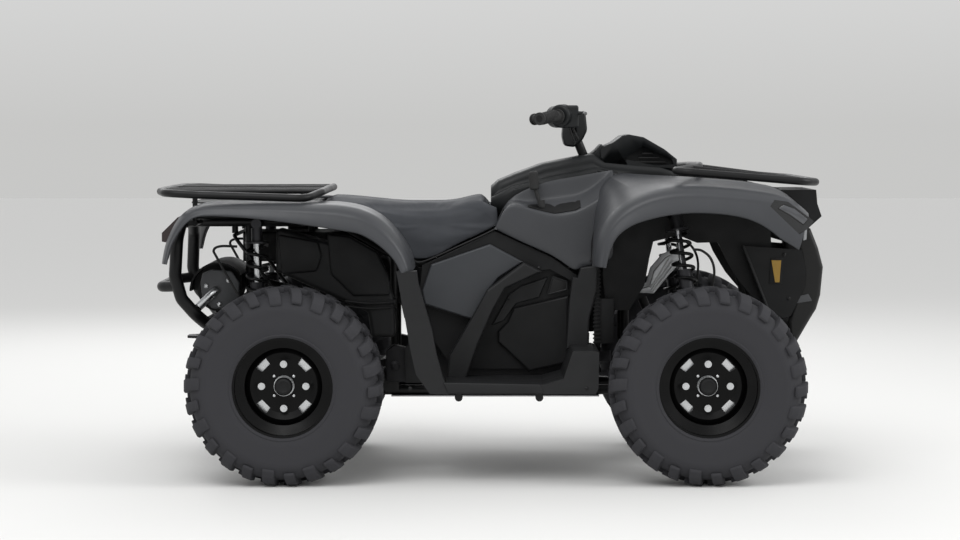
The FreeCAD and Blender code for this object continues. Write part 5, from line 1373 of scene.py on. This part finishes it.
@dataclass
class SideFittings:
    """Seat piping, rivets, ribbed liner edge, rolled guard edge, hoses and the nose's small plates."""

    hem: tuple = (
        (0.047, 0.2060, 0.846), (0.026, 0.2140, 0.794), (0.012, 0.2170, 0.777), (-0.100, 0.2245, 0.725),
        (-0.213, 0.2245, 0.6765), (-0.250, 0.2200, 0.686))
    hem_radius: float = 0.0030
    rivets: tuple = (
        (-0.245, 0.5070, 0.300), (0.300, 0.5070, 0.300), (0.120, 0.5070, 0.297), (-0.060, 0.5070, 0.297),
        (0.955, 0.2370, 0.560), (0.940, 0.2370, 0.700), (0.160, 0.2130, 0.655), (0.062, 0.2130, 0.560))
    rivet_radius: float = 0.0058
    rivet_height: float = 0.0030
    liner_edge: tuple = ((0.334, 0.415), (0.350, 0.415), (0.352, 0.690), (0.337, 0.690))
    liner_flap: tuple = ((0.343, 0.415), (0.396, 0.418), (0.398, 0.560), (0.345, 0.560))
    teeth: int = 22
    tooth_pitch: float = 0.0125
    guard_radius: float = 0.0058
    guard: tuple = (
        (0.808, 0.2385, 0.728), (0.830, 0.2395, 0.672), (0.862, 0.2395, 0.592), (0.893, 0.2385, 0.514))
    hose_radius: float = 0.0042
    hoses: tuple = (
        ((0.640, 0.345, 0.722), (0.668, 0.345, 0.718), (0.698, 0.328, 0.692), (0.712, 0.298, 0.645),
         (0.704, 0.262, 0.570)),
        ((-0.800, 0.262, 0.727), (-0.852, 0.262, 0.728), (-0.874, 0.263, 0.716), (-0.862, 0.265, 0.688),
         (-0.796, 0.270, 0.570)))
    patch: tuple = ((0.962, 0.560), (1.018, 0.575), (1.030, 0.552), (0.958, 0.540))
    reflector: tuple = ((0.892, 0.606), (0.897, 0.690), (0.936, 0.690), (0.932, 0.606))
    marker: tuple = ((1.000, 0.745), (1.010, 0.748), (1.012, 0.788), (1.004, 0.790))

    def liner(self) -> bmesh.types.BMesh:
        """The liner's edge strip with its row of teeth.

        Returns:
            The strips and teeth of the left side.
        """
        found = [slab(self.liner_edge, 0.2405, 0.2450, 0.001), slab(self.liner_flap, 0.2355, 0.2412, 0.0015)]
        for index in range(self.teeth):
            low = 0.418 + self.tooth_pitch * index
            tooth = [(0.331, low), (0.356, low + 0.003), (0.356, low + 0.0075), (0.331, low + 0.0055)]
            found.append(slab(tooth, 0.2420, 0.2500, 0.0008, 1))
        return joined(found)

    def build(self) -> None:
        """Make the fittings of both sides."""
        Piece("seat_piping", PIPING_VINYL, "seat_cover").make(mirrored(cord(self.hem, self.hem_radius)))
        heads = [stud(place, self.rivet_radius, self.rivet_height, 1) for place in self.rivets]
        Piece("panel_rivets", GATE_PLASTIC, "dark_plastic").make(mirrored(joined(heads)))
        Piece("liner_teeth", TRIM_PLASTIC, "dark_plastic").make(mirrored(self.liner()))
        Piece("guard_edge", TRIM_PLASTIC, "dark_plastic").make(mirrored(cord(self.guard, self.guard_radius)))
        hoses = [cord(route, self.hose_radius) for route in self.hoses]
        Piece("thin_hoses", BOOT_RUBBER, "boot_rubber").make(mirrored(joined(hoses)))
        patch = slab(self.patch, 0.2325, 0.2350, 0.0012)
        Piece("bumper_patch", END_COAT, "dark_plastic").make(mirrored(patch))
        edge = slab(self.reflector, 0.2365, 0.2385, 0.0012)
        Piece("reflector_frame", TRIM_PLASTIC, "dark_plastic").make(mirrored(edge))
        marker = slab(self.marker, 0.2365, 0.2400, 0.0010)
        Piece("nose_markers", MARKER_LENS, "lamp_clear").make(mirrored(marker))


@dataclass
class StepFittings:
    """Step rails, inner liners behind the rear braces, pivot brackets and cover vents."""

    rail: tuple = ((-0.143, 0.318), (-0.128, 0.285), (0.170, 0.285), (0.155, 0.313))
    liner: tuple = (
        (-0.283, 0.560), (-0.270, 0.500), (-0.258, 0.488), (-0.258, 0.415), (-0.270, 0.402),
        (-0.267, 0.292), (-0.170, 0.292), (-0.238, 0.560))
    bracket: tuple = (
        (-0.330, 0.292), (-0.330, 0.392), (-0.305, 0.412), (-0.262, 0.402), (-0.240, 0.350),
        (-0.232, 0.292))
    pivot: tuple = (-0.300, 0.2380, 0.345)
    vent: tuple = ((0.204, 0.627), (0.249, 0.612), (0.249, 0.587), (0.189, 0.571))
    vent_face: float = 0.2010
    vent_rim: float = 0.0030

    def build(self) -> None:
        """Make the fittings of both sides."""
        rail = slab(self.rail, 0.4990, 0.5100, 0.0032)
        Piece("step_rails", STEP_PLASTIC, "dark_plastic").make(mirrored(rail))
        liner = slab(self.liner, 0.2560, 0.2610, 0.0018)
        Piece("brace_liners", TRIM_PLASTIC, "dark_plastic").make(mirrored(liner))
        bracket = [slab(self.bracket, 0.1900, 0.2380, 0.0050), stud(self.pivot, 0.0150, 0.0070, 1)]
        Piece("pivot_brackets", DARK_CASTING, "cast_dark").make(mirrored(joined(bracket)))
        plate = slab(self.vent, self.vent_face - 0.003, self.vent_face + 0.001, 0.0010)
        Piece("cover_vents", GATE_PLASTIC, "dark_plastic").make(mirrored(plate))
        edge = rim(self.vent, self.vent_face, self.vent_rim)
        Piece("vent_rims", STEP_PLASTIC, "dark_plastic").make(mirrored(edge))


@dataclass
class LampUnits:
    """A glossy window with a thin rim in each headlamp recess."""

    window: tuple = (
        (0.890, 0.856), (0.908, 0.867), (0.940, 0.855), (0.982, 0.822), (0.968, 0.806), (0.926, 0.836))
    face_y: float = 0.4880
    rim_radius: float = 0.0018

    def build(self) -> None:
        """Make the window and the rim round it."""
        window = slab(self.window, self.face_y - 0.004, self.face_y + 0.0025, 0.0020, 3)
        Piece("lamp_windows", LAMP_GLASS, "lamp_clear").make(mirrored(window))
        edge = rim(self.window, self.face_y + 0.0005, self.rim_radius)
        Piece("lamp_rims", GATE_PLASTIC, "dark_plastic").make(mirrored(edge))


@dataclass
class ExhaustEnd:
    """Grey end plate with three bolts, the bright tail pipe and the header covers."""

    plate: tuple = (
        (-0.922, 0.610), (-0.915, 0.640), (-0.884, 0.652), (-0.822, 0.647), (-0.797, 0.610),
        (-0.800, 0.560), (-0.822, 0.528), (-0.884, 0.526), (-0.916, 0.560))
    bolts: tuple = ((-0.903, 0.599), (-0.832, 0.617), (-0.862, 0.541))
    face: float = -0.2165
    pipe: tuple = ((-0.868, -0.2185, 0.588), (-0.884, -0.2325, 0.574), (-0.925, -0.2385, 0.534))
    pipe_radius: float = 0.0135
    header: tuple = (
        (0.455, 0.570), (0.521, 0.590), (0.535, 0.640), (0.573, 0.684), (0.615, 0.704), (0.619, 0.664),
        (0.583, 0.626), (0.535, 0.566))
    header_ribs: tuple = (0.25, 0.5, 0.75)

    def header_covers(self) -> bmesh.types.BMesh:
        """The left header cover with its ribs.

        Returns:
            The cover and the ribs across it.
        """
        corners = [Vector(corner) for corner in self.header]
        found = [slab(self.header, 0.0845, 0.0955, 0.003)]
        for share in self.header_ribs:
            low, high = corners[1].lerp(corners[7], share), corners[3].lerp(corners[5], share)
            found.append(cord([(low.x, 0.0965, low.y), (high.x, 0.0965, high.y)], 0.0032))
        return joined(found)

    def build(self) -> None:
        """Fit the muffler's end and the header covers, whose bright alloy also carries painted sunlight."""
        plate = slab(self.plate, self.face - 0.005, self.face + 0.004, 0.0045, 3)
        Piece("muffler_end", END_COAT, "exhaust_metal").make(plate)
        heads = [stud((x, self.face - 0.005, z), 0.0078, 0.0060, -1) for x, z in self.bolts]
        pipe = cord(self.pipe, self.pipe_radius, sides=24)
        Piece("bright_tail_pipe", BRIGHT_STEEL, "hub_metal").make(joined([*heads, pipe]))
        Piece("header_covers", ALLOY_SHEET_PAINTED_SUN, "engine_cast").make(mirrored(self.header_covers()))


@dataclass
class TankMouldings:
    """The bulges and the beads that the tanks under the rear fenders show."""

    near_y: float = 0.2995
    front_bulge: tuple = (
        (-0.512, 0.770), (-0.440, 0.762), (-0.352, 0.712), (-0.318, 0.640), (-0.312, 0.575),
        (-0.430, 0.572), (-0.500, 0.640))
    rear_bulge: tuple = ((-0.668, 0.768), (-0.540, 0.745), (-0.528, 0.700), (-0.545, 0.650), (-0.655, 0.640))
    beads: tuple = (
        ((-0.455, 0.3005, 0.556), (-0.380, 0.3040, 0.549), (-0.304, 0.3005, 0.553)),
        ((-0.455, 0.3005, 0.540), (-0.380, 0.3040, 0.533), (-0.304, 0.3005, 0.537)))
    bead_radii: tuple[float, float] = (0.0050, 0.0035)

    def build(self) -> None:
        """Make the mouldings of both sides."""
        front = slab(self.front_bulge, self.near_y - 0.012, self.near_y + 0.010, 0.0085, 4)
        rear = slab(self.rear_bulge, self.near_y - 0.012, self.near_y + 0.006, 0.0075, 4)
        beads = [cord(route, radius) for route, radius in zip(self.beads, self.bead_radii)]
        Piece("tank_mouldings", TRIM_PLASTIC, "dark_plastic").make(mirrored(joined([front, rear, *beads])))


WHEELS = (
    ("front_right", FRONT_AXLE_X, FRONT_TRACK_HALF, 0.203, -1),
    ("front_left", FRONT_AXLE_X, FRONT_TRACK_HALF, 0.203, 1),
    ("rear_right", REAR_AXLE_X, REAR_TRACK_HALF, 0.254, -1),
    ("rear_left", REAR_AXLE_X, REAR_TRACK_HALF, 0.254, 1),
)


@dataclass
class Studio:
    """Pale floor, even light and the photograph's camera."""

    lens_mm: float = 94.46
    camera_back: float = 8.25
    camera_height: float = 1.113
    camera_x: float = -0.029
    pitch_deg: float = 3.3
    floor_half: float = 30.0
    sky_level: float = 0.78
    horizon: tuple[float, float, float] = (0.575, 0.575, 0.567)
    upper_sky: tuple[float, float, float] = (0.84, 0.845, 0.85)
    fade_top: float = 0.16
    floor_colour: tuple[float, float, float] = (0.74, 0.74, 0.73)
    floor_roughness: float = 0.85
    lamps: tuple = (
        ("key", (-1.5, -4.0, 5.5), 170.0, 4.0), ("nose", (5.0, -1.5, 3.5), 120.0, 3.0),
        ("back", (-1.0, 4.5, 4.0), 90.0, 4.0))

    def floor(self) -> None:
        """Lay the floor under the tyres."""
        shape = bmesh.new()
        bmesh.ops.create_grid(shape, x_segments=2, y_segments=2, size=self.floor_half)
        mesh = bpy.data.meshes.new("floor")
        shape.to_mesh(mesh)
        shape.free()
        ground = bpy.data.objects.new("floor", mesh)
        ground.location.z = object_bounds()[0].z - 0.0005
        bpy.context.scene.collection.objects.link(ground)
        material = bpy.data.materials.new("floor_paper")
        material.use_nodes = True
        shader = material.node_tree.nodes["Principled BSDF"]
        shader.inputs["Base Color"].default_value = (*self.floor_colour, 1.0)
        shader.inputs["Roughness"].default_value = self.floor_roughness
        mesh.materials.append(material)
        ground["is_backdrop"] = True

    def sky(self) -> None:
        """Light everything evenly, and show the camera a pale backdrop."""
        world = bpy.data.worlds.new("studio")
        world.use_nodes = True
        tree = world.node_tree
        tree.nodes.clear()
        out = tree.nodes.new("ShaderNodeOutputWorld")
        mix = tree.nodes.new("ShaderNodeMixShader")
        path = tree.nodes.new("ShaderNodeLightPath")
        light = tree.nodes.new("ShaderNodeBackground")
        light.inputs["Color"].default_value = (1.0, 1.0, 1.0, 1.0)
        light.inputs["Strength"].default_value = self.sky_level
        seen = tree.nodes.new("ShaderNodeBackground")
        self.fade(tree, seen)
        glossy = tree.nodes.new("ShaderNodeMath")
        through = tree.nodes.new("ShaderNodeMath")
        for adder in (glossy, through):
            adder.operation = "ADD"
            adder.use_clamp = True
        tree.links.new(path.outputs["Is Camera Ray"], glossy.inputs[0])
        tree.links.new(path.outputs["Is Glossy Ray"], glossy.inputs[1])
        tree.links.new(glossy.outputs["Value"], through.inputs[0])
        tree.links.new(path.outputs["Is Transmission Ray"], through.inputs[1])
        tree.links.new(through.outputs["Value"], mix.inputs["Fac"])
        tree.links.new(light.outputs["Background"], mix.inputs[1])
        tree.links.new(seen.outputs["Background"], mix.inputs[2])
        tree.links.new(mix.outputs["Shader"], out.inputs["Surface"])
        bpy.context.scene.world = world

    def fade(self, tree: bpy.types.NodeTree, seen: bpy.types.Node) -> None:
        """Let the backdrop start in the floor's tone at the horizon and grow paler above it.

        Args:
            tree: the world's nodes.
            seen: the background that the camera sees.
        """
        way = tree.nodes.new("ShaderNodeTexCoord")
        parts = tree.nodes.new("ShaderNodeSeparateXYZ")
        ramp = tree.nodes.new("ShaderNodeValToRGB")
        ramp.color_ramp.elements[0].position = 0.0
        ramp.color_ramp.elements[0].color = (*self.horizon, 1.0)
        ramp.color_ramp.elements[1].position = self.fade_top
        ramp.color_ramp.elements[1].color = (*self.upper_sky, 1.0)
        tree.links.new(way.outputs["Generated"], parts.inputs["Vector"])
        tree.links.new(parts.outputs["Z"], ramp.inputs["Fac"])
        tree.links.new(ramp.outputs["Color"], seen.inputs["Color"])

    def lamp(self, name: str, place: Vector, power: float, size: float) -> None:
        """Hang one soft square lamp that faces the vehicle.

        Args:
            name: the lamp's name.
            place: where it hangs.
            power: its watts.
            size: the length of its side.
        """
        data = bpy.data.lights.new(name, "AREA")
        data.energy = power
        data.size = size
        lamp = bpy.data.objects.new(name, data)
        lamp.location = place
        aim = Vector((0.0, 0.0, 0.5)) - place
        lamp.rotation_euler = aim.to_track_quat("-Z", "Y").to_euler()
        bpy.context.scene.collection.objects.link(lamp)

    def camera(self) -> None:
        """Stand the camera where the photograph was taken from."""
        data = bpy.data.cameras.new("photo_camera")
        data.lens = self.lens_mm
        data.sensor_width = 36.0
        camera = bpy.data.objects.new("photo_camera", data)
        camera.location = (self.camera_x, -self.camera_back, self.camera_height)
        camera.rotation_euler = (math.radians(90.0 - self.pitch_deg), 0.0, 0.0)
        bpy.context.scene.collection.objects.link(camera)
        bpy.context.scene.camera = camera

    def build(self) -> None:
        """Set up the whole studio."""
        self.floor()
        self.sky()
        for name, place, power, size in self.lamps:
            self.lamp(name, Vector(place), power, size)
        self.camera()
        bpy.context.scene.view_settings.view_transform = "Standard"


def main() -> None:
    """Build every sub-assembly in order."""
    logging.basicConfig(level=logging.INFO, format="%(name)s: %(message)s")
    dress_cad_nodes()
    for corner, axle_x, track_half, width, side in WHEELS:
        Tyre(corner, axle_x, track_half, width, side).build()
        HubTrim(corner, axle_x, track_half, width, side).build()
    FrontFenders().build()
    RearFenders().build()
    BodySides().build()
    Saddle().build()
    DamperRods().build()
    Hood().build()
    BarFittings().build()
    SideFittings().build()
    StepFittings().build()
    LampUnits().build()
    ExhaustEnd().build()
    TankMouldings().build()
    Studio().build()


if __name__ == "__main__":
    main()
